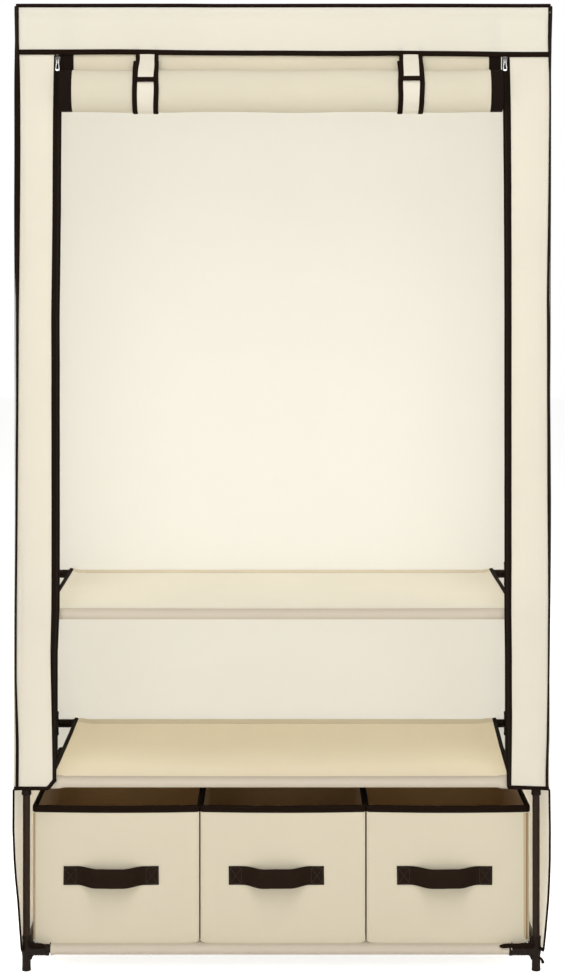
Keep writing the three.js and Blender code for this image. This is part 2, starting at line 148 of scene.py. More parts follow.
def billow(across, along, seed, pitch=0.5, waves=6):
    """A smooth uneven surface between -1 and 1 over two directions."""
    chance = np.random.default_rng(seed)
    total = np.zeros(np.broadcast(across, along).shape)
    weight = 0.0
    for wave in range(1, waves + 1):
        angle = chance.uniform(0, math.pi)
        rate = 2 * math.pi * (0.5 + 0.5 * wave) / pitch
        phase = chance.uniform(0, 6.28)
        slant = across * math.cos(angle) + along * math.sin(angle)
        total = total + np.sin(slant * rate + phase) / wave
        weight += 1 / wave
    return total / weight


def ease(value, start, end):
    """A smooth step from 0 at start to 1 at end."""
    share = np.clip((np.asarray(value, float) - start) / (end - start), 0, 1)
    return share * share * (3 - 2 * share)


class Skin:
    """Points and faces of one piece, with cloth coordinates in metres and a finish per face."""

    def __init__(self):
        self.points = []
        self.count = 0
        self.faces = {3: [], 4: []}
        self.coords = {3: [], 4: []}
        self.kinds = {3: [], 4: []}

    def spots(self, points):
        """Adds points and returns their numbers, in the same layout."""
        shape = points.shape[:-1]
        self.points.append(points.reshape(-1, 3))
        first = self.count
        self.count += int(np.prod(shape))
        return first + np.arange(int(np.prod(shape))).reshape(shape)

    def patch(self, index, coords, kind=0):
        """Joins a grid of point numbers into quads."""
        cells = corners(index)
        place = corners(np.arange(coords.shape[0] * coords.shape[1]).reshape(coords.shape[:2]))
        self.faces[4].append(cells)
        self.coords[4].append(coords.reshape(-1, 2)[place])
        self.kinds[4].append(np.full(len(cells), kind))

    def lattice(self, rings, coords, kind=0):
        """Adds rings of points joined into quads, each ring closed on itself."""
        index = self.spots(np.array(rings))
        self.patch(np.hstack([index, index[:, :1]]), coords, kind)

    def fan(self, centre, ring, coords, centre_coord, kind=0):
        """Closes a ring of point numbers with triangles round a centre point."""
        cells = join(centre, ring[:-1], ring[1:])
        middle = np.broadcast_to(centre_coord, coords[:-1].shape)
        self.faces[3].append(cells)
        self.coords[3].append(np.stack([middle, coords[:-1], coords[1:]], 1))
        self.kinds[3].append(np.full(len(cells), kind))

    def cloth(self, middle, coords, kind=0, thickness=CLOTH):
        """Adds a closed sheet round a grid of points, rows by columns."""
        down = np.gradient(middle, axis=0)
        over = np.gradient(middle, axis=1)
        out = unit(np.cross(over, down)) * thickness / 2
        front = self.spots(middle + out)
        rear = self.spots(middle - out)
        self.patch(front, coords, kind)
        self.patch(rear[:, ::-1], coords[:, ::-1], kind)

        def loop(grid):
            return np.concatenate([grid[0, :-1], grid[:-1, -1], grid[-1, :0:-1], grid[:, 0][::-1]])
        rim = loop(coords)
        self.patch(np.stack([loop(rear), loop(front)]), np.stack([rim + thickness, rim]), kind)

    def rings(self, centres, across, out, coords_along, power=2.0, sides=16, kind=0, closed=False):
        """Adds a tube through rings; across and out carry each ring's half sizes."""
        turn = np.linspace(0, 2 * math.pi, sides, endpoint=False) + math.pi / sides
        wide = np.sign(np.cos(turn)) * np.abs(np.cos(turn)) ** (2 / power)
        deep = np.sign(np.sin(turn)) * np.abs(np.sin(turn)) ** (2 / power)
        points = (centres[:, None] + across[:, None] * wide[None, :, None]
                  + out[:, None] * deep[None, :, None])
        index = self.spots(points)
        index = np.hstack([index, index[:, :1]])
        middle = len(centres) // 2
        around = travel(np.vstack([points[middle], points[middle][:1]]))
        coords = join(around, coords_along[:, None])
        if closed:
            index = np.vstack([index, index[:1]])
            step = coords_along[-1] + (coords_along[1] - coords_along[0])
            coords = np.concatenate([coords, join(around, step)[None]])
        self.patch(index, coords, kind)
        if not closed:
            for row, order in ((0, -1), (-1, 1)):
                centre = self.spots(centres[row][None])[0]
                self.fan(centre, index[row][::order], coords[row][::order],
                         coords[row].mean(0), kind)

    def sweep(self, path, across, width, depth, power=2.0, sides=16, kind=0, closed=False,
              rounded=0.0):
        """Adds a band or tube of one section along a path."""
        path = np.asarray(path, float)
        count = len(path)
        across = np.broadcast_to(np.asarray(across, float), path.shape)
        width = np.broadcast_to(np.asarray(width, float), (count,))
        depth = np.broadcast_to(np.asarray(depth, float), (count,))
        if closed:
            along = unit(np.roll(path, -1, 0) - np.roll(path, 1, 0))
        else:
            along = unit(np.gradient(path, axis=0))
        across = unit(across - along * np.sum(across * along, -1, keepdims=True))
        out = np.cross(along, across)
        gone = travel(path)
        if rounded > 0 and not closed:
            steps = np.array([0.0, 0.12, 0.42]) * rounded
            sizes = np.array([0.55, 0.82, 0.96])
            first = path[0] + along[0] * steps[:, None]
            last = (path[-1] - along[-1] * steps[:, None])[::-1]
            path = np.vstack([first, path[0] + along[0] * rounded, path[1:-1],
                              path[-1] - along[-1] * rounded, last])
            size = np.concatenate([sizes, np.ones(count), sizes[::-1]])

            def spread(rows):
                return np.concatenate([np.repeat(rows[:1], 3, 0), rows, np.repeat(rows[-1:], 3, 0)])
            across, out = spread(across), spread(out)
            width, depth = spread(width) * size, spread(depth) * size
            gone = travel(path)
        self.rings(path, across * width[:, None] / 2, out * depth[:, None] / 2, gone,
                   power, sides, kind, closed)

    def lathe(self, start, axis, profile, sides=32, kind=0):
        """Adds a turned shape: pairs of distance along the axis and radius."""
        axis = np.asarray(Vector(axis).normalized())
        side = np.asarray(Vector(axis).orthogonal().normalized())
        other = np.cross(axis, side)
        profile = np.asarray(profile, float)
        centres = np.asarray(start, float) + profile[:, :1] * axis
        self.rings(centres, side * profile[:, 1:2], other * profile[:, 1:2], travel(profile), 2.0,
                   sides, kind)

    def scatter(self, form, at, along, across, out, kind=0):
        """Adds a small form many times; the form is rings by sides in its own directions."""
        count = len(at)
        basis = np.stack([along, across, out], 1)
        points = at[:, None, None] + np.einsum("rsk,nkx->nrsx", form, basis)
        index = self.spots(points)
        index = np.concatenate([index, index[:, :, :1]], 2)
        rows, columns = index.shape[1:]
        cells = join(index[:, :-1, :-1], index[:, :-1, 1:], index[:, 1:, 1:], index[:, 1:, :-1])
        run, turn = np.meshgrid(np.arange(rows) * 0.7 * MM, np.arange(columns) * 0.3 * MM,
                                indexing="ij")
        coords = join(turn, run)
        place = corners(np.arange(rows * columns).reshape(rows, columns))
        one = coords.reshape(-1, 2)[place]
        self.faces[4].append(cells.reshape(-1, 4))
        self.coords[4].append(np.tile(one, (count, 1, 1)))
        self.kinds[4].append(np.full(cells[..., 0].size, kind))

    def mesh(self, name, sharp=38.0):
        """Makes the Blender mesh."""
        made = bpy.data.meshes.new(name)
        points = np.vstack(self.points).astype(np.float32)
        sizes = [size for size in (4, 3) if self.faces[size]]
        faces = [np.vstack(self.faces[size]) for size in sizes]
        coords = [np.vstack(self.coords[size]).reshape(-1, 2) for size in sizes]
        kinds = np.concatenate([np.concatenate(self.kinds[size]) for size in sizes])
        totals = np.concatenate([np.full(len(block), size) for block, size in zip(faces, sizes)])
        made.vertices.add(len(points))
        made.vertices.foreach_set("co", points.ravel())
        made.loops.add(int(totals.sum()))
        made.loops.foreach_set("vertex_index", np.concatenate([b.ravel() for b in faces]).astype(np.int32))
        made.polygons.add(len(totals))
        starts = np.concatenate([[0], np.cumsum(totals)[:-1]]).astype(np.int32)
        made.polygons.foreach_set("loop_start", starts)
        made.polygons.foreach_set("material_index", kinds.astype(np.int32))
        layer = made.uv_layers.new(name="cloth")
        layer.data.foreach_set("uv", np.vstack(coords).astype(np.float32).ravel())
        made.update(calc_edges=True)
        made.validate()
        made.polygons.foreach_set("use_smooth", np.ones(len(made.polygons), bool))
        made.set_sharp_from_angle(angle=math.radians(sharp))
        made.update()
        return made


def spindle(length, width, height):
    """A small form, thick in its middle and thin at both ends, for stitches and teeth."""
    sides = 6
    shares = np.array([-0.5, -0.44, -0.25, 0.0, 0.25, 0.44, 0.5])
    sizes = np.array([0.05, 0.55, 0.92, 1.0, 0.92, 0.55, 0.05])
    turn = np.linspace(0, 2 * math.pi, sides, endpoint=False)
    form = np.zeros((len(shares), sides, 3))
    form[..., 0] = shares[:, None] * length
    form[..., 1] = sizes[:, None] * np.cos(turn) * width / 2
    form[..., 2] = sizes[:, None] * np.sin(turn) * height / 2
    return form


def stitch(skin, path, out, kind, length=2.8 * MM, gap=1.3 * MM, thread=0.55 * MM, lift=0.1 * MM):
    """Sews a row of stitches along a path; out points away from the cloth."""
    path = np.asarray(path, float)
    gone = travel(path)
    middles = np.arange(length, gone[-1] - length / 2, length + gap)
    out = np.broadcast_to(np.asarray(out, float), path.shape)
    along = unit(read_off(path, gone, middles + length / 4) - read_off(path, gone, middles - length / 4))
    away = unit(read_off(out, gone, middles))
    across = unit(np.cross(away, along))
    at = read_off(path, gone, middles) + away * lift
    skin.scatter(spindle(length, thread, thread), at, along, across, np.cross(along, across), kind)


def piece(name, skin, finishes, body, replaced=(), sharp=38.0):
    """Links one finished piece and makes it ride on its body."""
    made = bpy.data.objects.new(name, skin.mesh(name, sharp))
    bpy.context.scene.collection.objects.link(made)
    for finish in finishes:
        made.data.materials.append(finish_for(finish))
    if body is not None:
        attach(made, body)
    if replaced:
        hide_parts(*replaced)
    return made


class Wire:
    """A number from a node; expressions on it add Math nodes."""

    def __init__(self, finish, socket):
        self.finish = finish
        self.socket = socket

    def math(self, operation, *others):
        """Adds one Math node to the expression."""
        values = dict(enumerate((self,) + others))
        return self.finish.add("ShaderNodeMath", {"operation": operation}, values)

    def __add__(self, other):
        return self.math("ADD", other)

    __radd__ = __add__

    def __sub__(self, other):
        return self.math("SUBTRACT", other)

    def __rsub__(self, other):
        return self.finish.add("ShaderNodeMath", {"operation": "SUBTRACT"}, {0: other, 1: self})

    def __mul__(self, other):
        return self.math("MULTIPLY", other)

    __rmul__ = __mul__

    def __truediv__(self, other):
        return self.math("DIVIDE", other)

    def __abs__(self):
        return self.math("ABSOLUTE")

    def floor(self):
        return self.math("FLOOR")

    def part(self):
        """What is left of the number after its whole part."""
        return self.math("FRACT")

    def root(self):
        return self.math("SQRT")

    def wave(self):
        return self.math("SINE")

    def ribs(self, pitch):
        """Even ribs between 0 and 1, one at each pitch."""
        return (self * (2 * math.pi / pitch)).wave() * 0.5 + 0.5

    def larger(self, other):
        return self.math("MAXIMUM", other)

    def rise(self, start, end):
        """A smooth step from 0 at start to 1 at end."""
        values = {"Value": self, "From Min": start, "From Max": end}
        return self.finish.add("ShaderNodeMapRange", {"interpolation_type": "SMOOTHSTEP"}, values)


class Finish:
    """One material and the nodes that make it."""

    def __init__(self, name, tree=None):
        if tree is None:
            self.material = bpy.data.materials.new(name)
            self.material.use_nodes = True
            tree = self.material.node_tree
        self.tree = tree
        self.tree.nodes.clear()

    def add(self, kind, settings=None, values=None, output=0):
        """Adds a node: its settings first, then its sockets' values or links; gives one output."""
        node = self.tree.nodes.new(kind)
        for name, value in (settings or {}).items():
            setattr(node, name, value)
        for name, value in (values or {}).items():
            socket = self.find(node.inputs, name)
            if isinstance(value, Wire):
                self.tree.links.new(value.socket, socket)
            elif socket.type == "RGBA" and len(value) == 3:
                socket.default_value = tuple(value) + (1.0,)
            else:
                socket.default_value = value
        return Wire(self, self.find(node.outputs, output))

    @staticmethod
    def find(sockets, name):
        """A socket by its number, identifier or name."""
        if isinstance(name, int):
            return sockets[name]
        for socket in sockets:
            if socket.identifier == name:
                return socket
        return sockets[name]

    def blend(self, share, first, second):
        """Mixes two colours."""
        values = {"Factor_Float": share, "A_Color": first, "B_Color": second}
        return self.add("ShaderNodeMix", {"data_type": "RGBA"}, values, "Result_Color")

    def place(self, source="UV"):
        """The cloth coordinates, or the place in the object, in metres."""
        return self.add("ShaderNodeTexCoord", output=source)

    def scaled(self, place, factors):
        """The place with each direction scaled."""
        return self.add("ShaderNodeVectorMath", {"operation": "MULTIPLY"}, {0: place, 1: factors})

    def split(self, place):
        """The three numbers of a place."""
        node = self.add("ShaderNodeSeparateXYZ", values={0: place}).socket.node
        return [Wire(self, socket) for socket in node.outputs]

    def noise(self, place, scale, detail=2.0, roughness=0.5, distortion=0.0):
        """Cloudy noise between 0 and 1."""
        values = {"Vector": place, "Scale": scale, "Detail": detail, "Roughness": roughness,
                  "Distortion": distortion}
        return self.add("ShaderNodeTexNoise", values=values)

    def surface(self, colour, roughness, height=None, depth=0.0, steady=None, through=0.0,
                glow_colour=None):
        """Ends the material with its surface shader; depth is the relief's height in metres."""
        values = {"Base Color": colour, "Roughness": roughness}
        values.update(steady or {})
        if height is not None:
            values["Normal"] = self.add("ShaderNodeBump", values={"Height": height, "Distance": depth})
        shader = self.add("ShaderNodeBsdfPrincipled", values=values)
        if through > 0:
            glow = self.add("ShaderNodeBsdfTranslucent", values={"Color": glow_colour})
            shader = self.add("ShaderNodeMixShader", values={0: through, 1: shader, 2: glow})
        self.end("ShaderNodeOutputMaterial", shader)
        return self.material

    def end(self, kind, shader):
        """Links a shader to the output that ends the nodes."""
        output = self.tree.nodes.new(kind)
        self.tree.links.new(shader.socket, output.inputs["Surface"])


def cloth_finish(name):
    """A new finish with its cloth coordinates, whole and split."""
    finish = Finish(name)
    place = finish.place()
    across, along, _ = finish.split(place)
    return finish, place, across, along


def from_point(across, along, pitch, across_weight, along_weight):
    """How far the surface is from the nearest of many points in staggered rows."""
    row = (along / pitch).floor()
    lane = (across / pitch + row * 0.5).part() - 0.5
    step = (along / pitch).part() - 0.5
    return (lane * lane * across_weight + step * step * along_weight).root()


def pressed_cloth(name, colour, crease=1.2 * MM, tone=0.045, through=0.35, pitch=1.9 * MM):
    """Thin felted cloth, pressed together in staggered rows of small points.

    The crease is the depth of its broad folds, and tone is how uneven its colour is. The share
    of the light that passes from one face to the other is through.
    """
    finish, place, across, along = cloth_finish(name)
    pressed = from_point(across, along, pitch, 1.3, 3.2).rise(0.17, 0.33)
    fibres = finish.noise(finish.scaled(place, (1500.0, 420.0, 1.0)), 1.0, 3.0, 0.65)
    clumps = finish.noise(place, 140.0, 4.0, 0.6)
    clouds = finish.noise(place, 3.2, 4.0, 0.55, 0.4)
    folds = finish.noise(finish.scaled(place, (9.0, 4.0, 1.0)), 1.0, 3.0, 0.5, 0.8)
    shade = clouds.rise(0.25, 0.75) * 0.62 + clumps * 0.38
    body = finish.blend(shade, tint(colour, 1 - tone), tint(colour, 1 + tone * 0.5))
    body = finish.blend(fibres.rise(0.35, 0.8) * 0.35, body, tint(colour, 1 - tone * 1.6))
    body = finish.blend(1 - pressed, body, tint(colour, 1 - tone * 1.3))
    relief = pressed * 0.07 * MM + fibres * 0.05 * MM + clumps * 0.10 * MM + folds * crease
    rough = 0.78 + clumps * 0.12 - (1 - pressed) * 0.08
    steady = {"Sheen Weight": 0.12, "Sheen Roughness": 0.5, "Specular IOR Level": 0.25}
    return finish.surface(body, rough, relief, 1.0, steady, through, tint(colour, 1 - tone * 0.7))


def bias_tape(name, colour, width=7.0 * MM):
    """Narrow binding folded over an edge: fine ribs, one row of stitches, paler where it rubs."""
    finish, place, across, along = cloth_finish(name)
    pitch = 0.75 * MM
    stitch_pitch = 4.0 * MM
    ribs = (across + along).ribs(pitch)
    cross = (across - along).ribs(pitch)
    inset = abs((across / width + 0.18).part() - 0.5)
    seam = 1 - inset.rise(0.02, 0.055)
    run = (along / stitch_pitch).part()
    sewn = seam * run.rise(0.12, 0.2) * (1 - run.rise(0.8, 0.88))
    lint = finish.noise(place, 420.0, 3.0, 0.7)
    wear = finish.noise(place, 16.0, 3.0, 0.6).rise(0.5, 0.8)
    body = finish.blend(ribs * 0.45 + lint * 0.4, tint(colour, 0.72), tint(colour, 1.35))
    body = finish.blend(wear * 0.25, body, tint(colour, 1.9))
    body = finish.blend(sewn * 0.7, body, tint(colour, 2.1))
    relief = ribs * 0.06 * MM + cross * 0.04 * MM + lint * 0.08 * MM + sewn * 0.16 * MM - seam * 0.1 * MM
    steady = {"Specular IOR Level": 0.03}
    return finish.surface(body, 0.62 + lint * 0.2, relief, 1.0, steady)


def webbing(name, colour, pitch=1.5 * MM):
    """Heavy woven tape with a twill across its width."""
    finish, place, across, along = cloth_finish(name)
    yarn = 1 - from_point(across, along, pitch, 2.2, 3.0).rise(0.2, 0.72)
    fibres = finish.noise(finish.scaled(place, (900.0, 2600.0, 1.0)), 1.0, 2.0, 0.6)
    wear = finish.noise(place, 24.0, 4.0, 0.6).rise(0.45, 0.8)
    body = finish.blend(yarn, tint(colour, 0.55), tint(colour, 1.15))
    body = finish.blend(fibres * 0.35, body, tint(colour, 1.7))
    body = finish.blend(wear * 0.3, body, tint(colour, 1.9))
    relief = yarn * 0.22 * MM + fibres * 0.06 * MM
    steady = {"Specular IOR Level": 0.03}
    return finish.surface(body, 0.6 + fibres * 0.2, relief, 1.0, steady)


def thread(name, colour):
    """Twisted sewing thread."""
    finish, _, across, along = cloth_finish(name)
    twist = (across * 1.4 + along).ribs(0.5 * MM)
    body = finish.blend(twist, tint(colour, 0.72), colour)
    return finish.surface(body, 0.55 + twist * 0.15, twist, 0.08 * MM, {"Sheen Weight": 0.2})


def painted_steel(name, colour):
    """Tube with baked paint: a fine orange-peel skin, dust, and small scuffs."""
    finish = Finish(name)
    place = finish.place("Object")
    peel = finish.noise(place, 900.0, 2.0, 0.5)
    dust = finish.noise(place, 38.0, 5.0, 0.65).rise(0.45, 0.75)
    marks = finish.noise(finish.scaled(place, (60.0, 60.0, 400.0)), 1.0, 3.0, 0.7).rise(0.66, 0.74)
    body = finish.blend(dust * 0.35, colour, tint(colour, 1.7))
    body = finish.blend(marks * 0.3, body, tint(colour, 2.6))
    rough = 0.3 + dust * 0.16 + marks * 0.2
    steady = {"Specular IOR Level": 0.1}
    return finish.surface(body, rough, peel, 0.03 * MM, steady)


def moulded_plastic(name, colour):
    """Matt moulded plastic with a fine grain and paler rubbed places."""
    finish = Finish(name)
    place = finish.place("Object")
    grain = finish.noise(place, 1600.0, 2.0, 0.6)
    flow = finish.noise(place, 90.0, 3.0, 0.6, 1.2)
    rubbed = finish.noise(place, 45.0, 4.0, 0.6).rise(0.5, 0.75)
    body = finish.blend(flow * 0.5, tint(colour, 0.85), tint(colour, 1.2))
    body = finish.blend(rubbed * 0.3, body, tint(colour, 1.9))
    rough = 0.42 + grain * 0.12 + rubbed * 0.1
    return finish.surface(body, rough, grain * 0.05 * MM + flow * 0.05 * MM, 1.0,
                          {"Specular IOR Level": 0.08})


def cast_metal(name, colour, rough):
    """Small cast and plated metal parts, a little uneven and rubbed."""
    finish = Finish(name)
    place = finish.place("Object")
    pits = finish.noise(place, 1400.0, 3.0, 0.6)
    rubbed = finish.noise(place, 160.0, 3.0, 0.6).rise(0.4, 0.7)
    body = finish.blend(rubbed, tint(colour, 0.8), tint(colour, 1.15))
    return finish.surface(body, rough + pits * 0.16 - rubbed * 0.08, pits, 0.04 * MM,
                          {"Metallic": 1.0})


def zip_tape(name, colour):
    """Knitted zip tape with fine lengthwise ribs."""
    finish, place, across, along = cloth_finish(name)
    ribs = across.ribs(0.9 * MM)
    knit = along.ribs(0.8 * MM)
    lint = finish.noise(place, 500.0, 3.0, 0.7)
    body = finish.blend(ribs * 0.5 + lint * 0.4, tint(colour, 0.7), tint(colour, 1.4))
    relief = ribs * 0.1 * MM + knit * 0.05 * MM + lint * 0.05 * MM
    steady = {"Specular IOR Level": 0.04}
    return finish.surface(body, 0.66 + lint * 0.18, relief, 1.0, steady)


FINISHES = {
    "cover": (pressed_cloth, "cover_cloth", {}),
    "side": (pressed_cloth, "side_cloth", {"through": 0.55}),
    "valance": (pressed_cloth, "valance_cloth", {}),
    "back": (pressed_cloth, "back_cloth", {"tone": 0.02, "through": 0.68}),
    "door": (pressed_cloth, "door_cloth", {"crease": 0.5 * MM}),
    # Painted light: the shelf cloth is made lighter than the cover's cloth, to make up for the shade
    # inside the frame.
    "shelf": (pressed_cloth, "shelf_cloth", {"crease": 0.8 * MM, "through": 0.25}),
    # Painted light and shade: the lower shelf is the shelf cloth made lighter, to make up for the shade
    # under the upper shelf, and warmer, to paint that shade's warm tint.
    "lower_shelf": (pressed_cloth, "lower_shelf_cloth", {"crease": 0.8 * MM, "through": 0.05}),
    # Painted shade: the front sleeves are the shelf cloth made darker and greyer, for the shade on their
    # forward faces.
    "sleeve": (pressed_cloth, "sleeve_cloth", {"crease": 0.4 * MM, "through": 0.1}),
    # Painted shade: the rear sleeves are the shelf cloth made darker and yellower, for the shade along the
    # rear tubes.
    "rear_sleeve": (pressed_cloth, "rear_sleeve_cloth", {"crease": 0.4 * MM, "through": 0.1}),
    # Painted shade: the bins' outside is the cover's cloth made darker and yellower, for the dimmer light
    # low down under the shelves.
    "bin": (pressed_cloth, "bin_cloth", {"crease": 0.9 * MM, "through": 0}),
    # Painted shade: a tan strip down the outer edge of the outer bins' fronts, standing in for the shade
    # at those corners, not a turned edge.
    "fold": (pressed_cloth, "turned_edge_cloth", {"through": 0}),
    # Painted shade: the lining is the bins' cream cloth made tan, for the warm shade inside the bins.
    "lining": (pressed_cloth, "lining_cloth", {"tone": 0.12, "through": 0}),
    "strap": (pressed_cloth, "strap_cloth", {"crease": 0.3 * MM, "through": 0.2}),
    "binding": (bias_tape, "dark_binding", {}),
    "handle": (webbing, "handle_webbing", {}),
    "pale_thread": (thread, "pale_thread", {}),
    # The brown thread finish also colours the inner strip of painted shade at the outer bins' front
    # corners.
    "brown_thread": (thread, "brown_thread", {}),
    "dark_thread": (thread, "dark_thread", {}),
    "tape": (zip_tape, "zip_tape", {}),
    "coil": (zip_tape, "zip_coil", {}),
    "steel": (painted_steel, "tube_paint_finish", {}),
    "plastic": (moulded_plastic, "connector_plastic_finish", {}),
    "slider": (cast_metal, "slider_metal", {"rough": 0.36}),
    "pull": (cast_metal, "pull_metal", {"rough": 0.22}),
}
FINISHED = {}


def finish_for(key):
    """The finish of one kind of surface, made the first time it is asked for."""
    if key not in FINISHED:
        maker, name, options = FINISHES[key]
        scene = bpy.context.scene
        settings = (scene.wardrobe_cloth, scene.wardrobe_trim, scene.wardrobe_frame)
        colour_name = f"{key}_colour"
        colour = next(getattr(group, colour_name) for group in settings if hasattr(group, colour_name))
        FINISHED[key] = maker(name, tuple(colour), **options)
    return FINISHED[key]


def colour_prop(name, description, default):
    """A colour that the user can change."""
    return FloatVectorProperty(name=name, description=description, default=default,
                               subtype="COLOR", size=3, min=0.0, max=1.0)


def length_prop(name, description, default):
    """A length that the user can change."""
    return FloatProperty(name=name, description=description, default=default, unit="LENGTH",
                         subtype="DISTANCE", precision=4)


def power_prop(name, description, default):
    """A lamp's power that the user can change."""
    return FloatProperty(name=name, description=description, default=default, unit="POWER")


class ClothSettings(bpy.types.PropertyGroup):
    """Colours of the cloth, and how far it stands out of true."""
    cover_colour: colour_prop("Cover", "Front strips and roof", paint(242, 237, 223))
    side_colour: colour_prop("Sides", "Side panels", paint(240, 236, 227))
    valance_colour: colour_prop("Valance", "Band across the front top", paint(244, 240, 227))
    back_colour: colour_prop("Back", "Back panel", paint(240, 238, 232))
    door_colour: colour_prop("Door", "Rolled door", paint(237, 230, 211))
    # Painted light: the shelf cloth is made lighter than the cover's cloth, to make up for the shade
    # inside the frame.
    shelf_colour: colour_prop("Shelves", "Shelf cloths", paint(252, 248, 236))
    # Painted light and shade: the shelf cloth made lighter, to make up for the shade under the upper
    # shelf, and warmer, to paint that shade's warm tint.
    lower_shelf_colour: colour_prop("Lower shelf", "Warmer cloth of the lower shelf",
                                    paint(255, 243, 216))
    # Painted shade: the front sleeves are the shelf cloth made darker and greyer, for the shade on their
    # forward faces.
    sleeve_colour: colour_prop("Front sleeves", "Sleeves along the shelves' front tubes",
                               paint(213, 202, 183))
    # Painted shade: the rear sleeves are the shelf cloth made darker and yellower, for the shade along the
    # rear tubes.
    rear_sleeve_colour: colour_prop("Rear sleeves", "Sleeves along the shelves' rear tubes",
                                    paint(234, 223, 196))
    # Painted shade: the bins' outside is the cover's cloth made darker and yellower, for the dimmer light
    # low down under the shelves.
    bin_colour: colour_prop("Bins", "Outside of the storage bins", paint(214, 204, 180))
    # Painted shade: a tan strip down the outer edge of the outer bins' fronts, standing in for the shade
    # at those corners, not a turned edge.
    fold_colour: colour_prop("Turned edges", "Turned edge at the outer bins' corners",
                             paint(190, 172, 138))
    # Painted shade: the lining is the bins' cream cloth made tan, for the warm shade inside the bins.
    lining_colour: colour_prop("Lining", "Inside of the storage bins", paint(216, 182, 130))
    strap_colour: colour_prop("Straps", "Straps round the rolled door", paint(240, 233, 216))
    lean: length_prop("Lean", "How far the cover's top stands to one side", 2.2 * MM)
    wrinkle: length_prop("Wrinkle", "Depth of the cover's soft folds", 1.2 * MM)


class TrimSettings(bpy.types.PropertyGroup):
    """Colours and sizes of binding, thread, webbing and zips."""
    binding_colour: colour_prop("Binding", "Dark binding along the edges", paint(27, 17, 11))
    handle_colour: colour_prop("Handles", "Webbing handles", paint(39, 28, 20))
    pale_thread_colour: colour_prop("Pale thread", "Thread on the cream cloth", paint(222, 208, 180))
    # The brown thread colour also paints the inner strip of painted shade at the outer bins' front
    # corners.
    brown_thread_colour: colour_prop("Brown thread", "Thread along the shelves' rear seams",
                                     paint(146, 116, 74))
    dark_thread_colour: colour_prop("Dark thread", "Thread on dark trim", paint(38, 26, 18))
    tape_colour: colour_prop("Zip tape", "Tape of the zips", paint(25, 17, 12))
    coil_colour: colour_prop("Zip coil", "Coil of the zips", paint(44, 36, 29))
    binding_depth: length_prop("Binding depth", "Thickness of the folded binding", 2.6 * MM)


class FrameSettings(bpy.types.PropertyGroup):
    """Colours and sizes of the steel and plastic parts."""
    steel_colour: colour_prop("Steel", "Painted tubes", paint(42, 30, 21))
    plastic_colour: colour_prop("Plastic", "Moulded connectors", paint(31, 22, 16))
    slider_colour: colour_prop("Slider", "Zip sliders", paint(96, 90, 86))
    pull_colour: colour_prop("Pull", "Zip pulls", paint(206, 206, 204))
    tube_sides: IntProperty(name="Tube sides", description="Sides of each round tube",
                            default=32, min=12, max=64)


class StageSettings(bpy.types.PropertyGroup):
    """Camera, lamps and floor."""
    camera_side: length_prop("Camera side", "Camera to the right of the middle", 1.2 * MM)
    camera_distance: length_prop("Camera distance", "Camera in front of the cover", 3.583)
    camera_height: length_prop("Camera height", "Camera above the floor", 1.182)
    lens: FloatProperty(name="Lens", description="Focal length in millimetres", default=80.83)
    rise: FloatProperty(name="Shift", description="Vertical shift of the lens", default=-0.240)
    key_power: power_prop("Front lamps", "Power of each lamp in front", 34.5)
    middle_power: power_prop("Middle lamp", "Power of the lamp in front and a little above", 57.5)
    high_power: power_prop("High lamp", "Power of the lamp far above", 63.0)
    side_power: power_prop("Side lamps", "Power of each lamp at the sides", 112.0)
    rear_power: power_prop("Rear lamp", "Power of the lamp behind", 38.0)
    sky: FloatProperty(name="Sky", description="Strength of the even light", default=0.18)
    floor_colour: colour_prop("Floor", "Pale floor", paint(244, 243, 241))


def middle(node):
    """The middle of a node's box."""
    low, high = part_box(node)
    return np.asarray((low + high) / 2)


def low(node, axis):
    """The lowest place of a node along an axis."""
    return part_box(node)[0][axis]


def high(node, axis):
    """The highest place of a node along an axis."""
    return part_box(node)[1][axis]


POST_X = middle("post_front_right")[0]
POST_Y = {"front": middle("post_front_right")[1], "rear": middle("post_rear_right")[1]}
LEVELS = {level: middle(f"tube_{level}_front")[2] for level in ("bottom", "lower", "upper", "top")}
TUBE = (high("tube_top_front", 2) - low("tube_top_front", 2)) / 2
SOCKET = high("connector_top_front_right", 0) - POST_X
FOOT_TOP = LEVELS["bottom"] - SOCKET
REACH = POST_X - low("connector_top_front_right", 0)

HALF_WIDTH = high("cover_top", 0) - CLOTH / 2
TOP_Z = high("cover_top", 2) - CLOTH / 2
VALANCE_Y = low("cover_top", 1) + CLOTH / 2
FRONT_Y = low("cover_front_strip_left", 1) + CLOTH / 2
BACK_Y = high("cover_back", 1) - CLOTH / 2
COVER_BOTTOM = low("cover_back", 2)
STRIP_BOTTOM = low("cover_front_strip_left", 2)
VALANCE_BOTTOM = low("cover_top", 2) + 3.4 * MM
DOOR_HALF = high("door_sheet", 0)
DOOR_Y = middle("door_sheet")[1]
ROLL_Y, ROLL_Z = middle("door_roll")[1:]


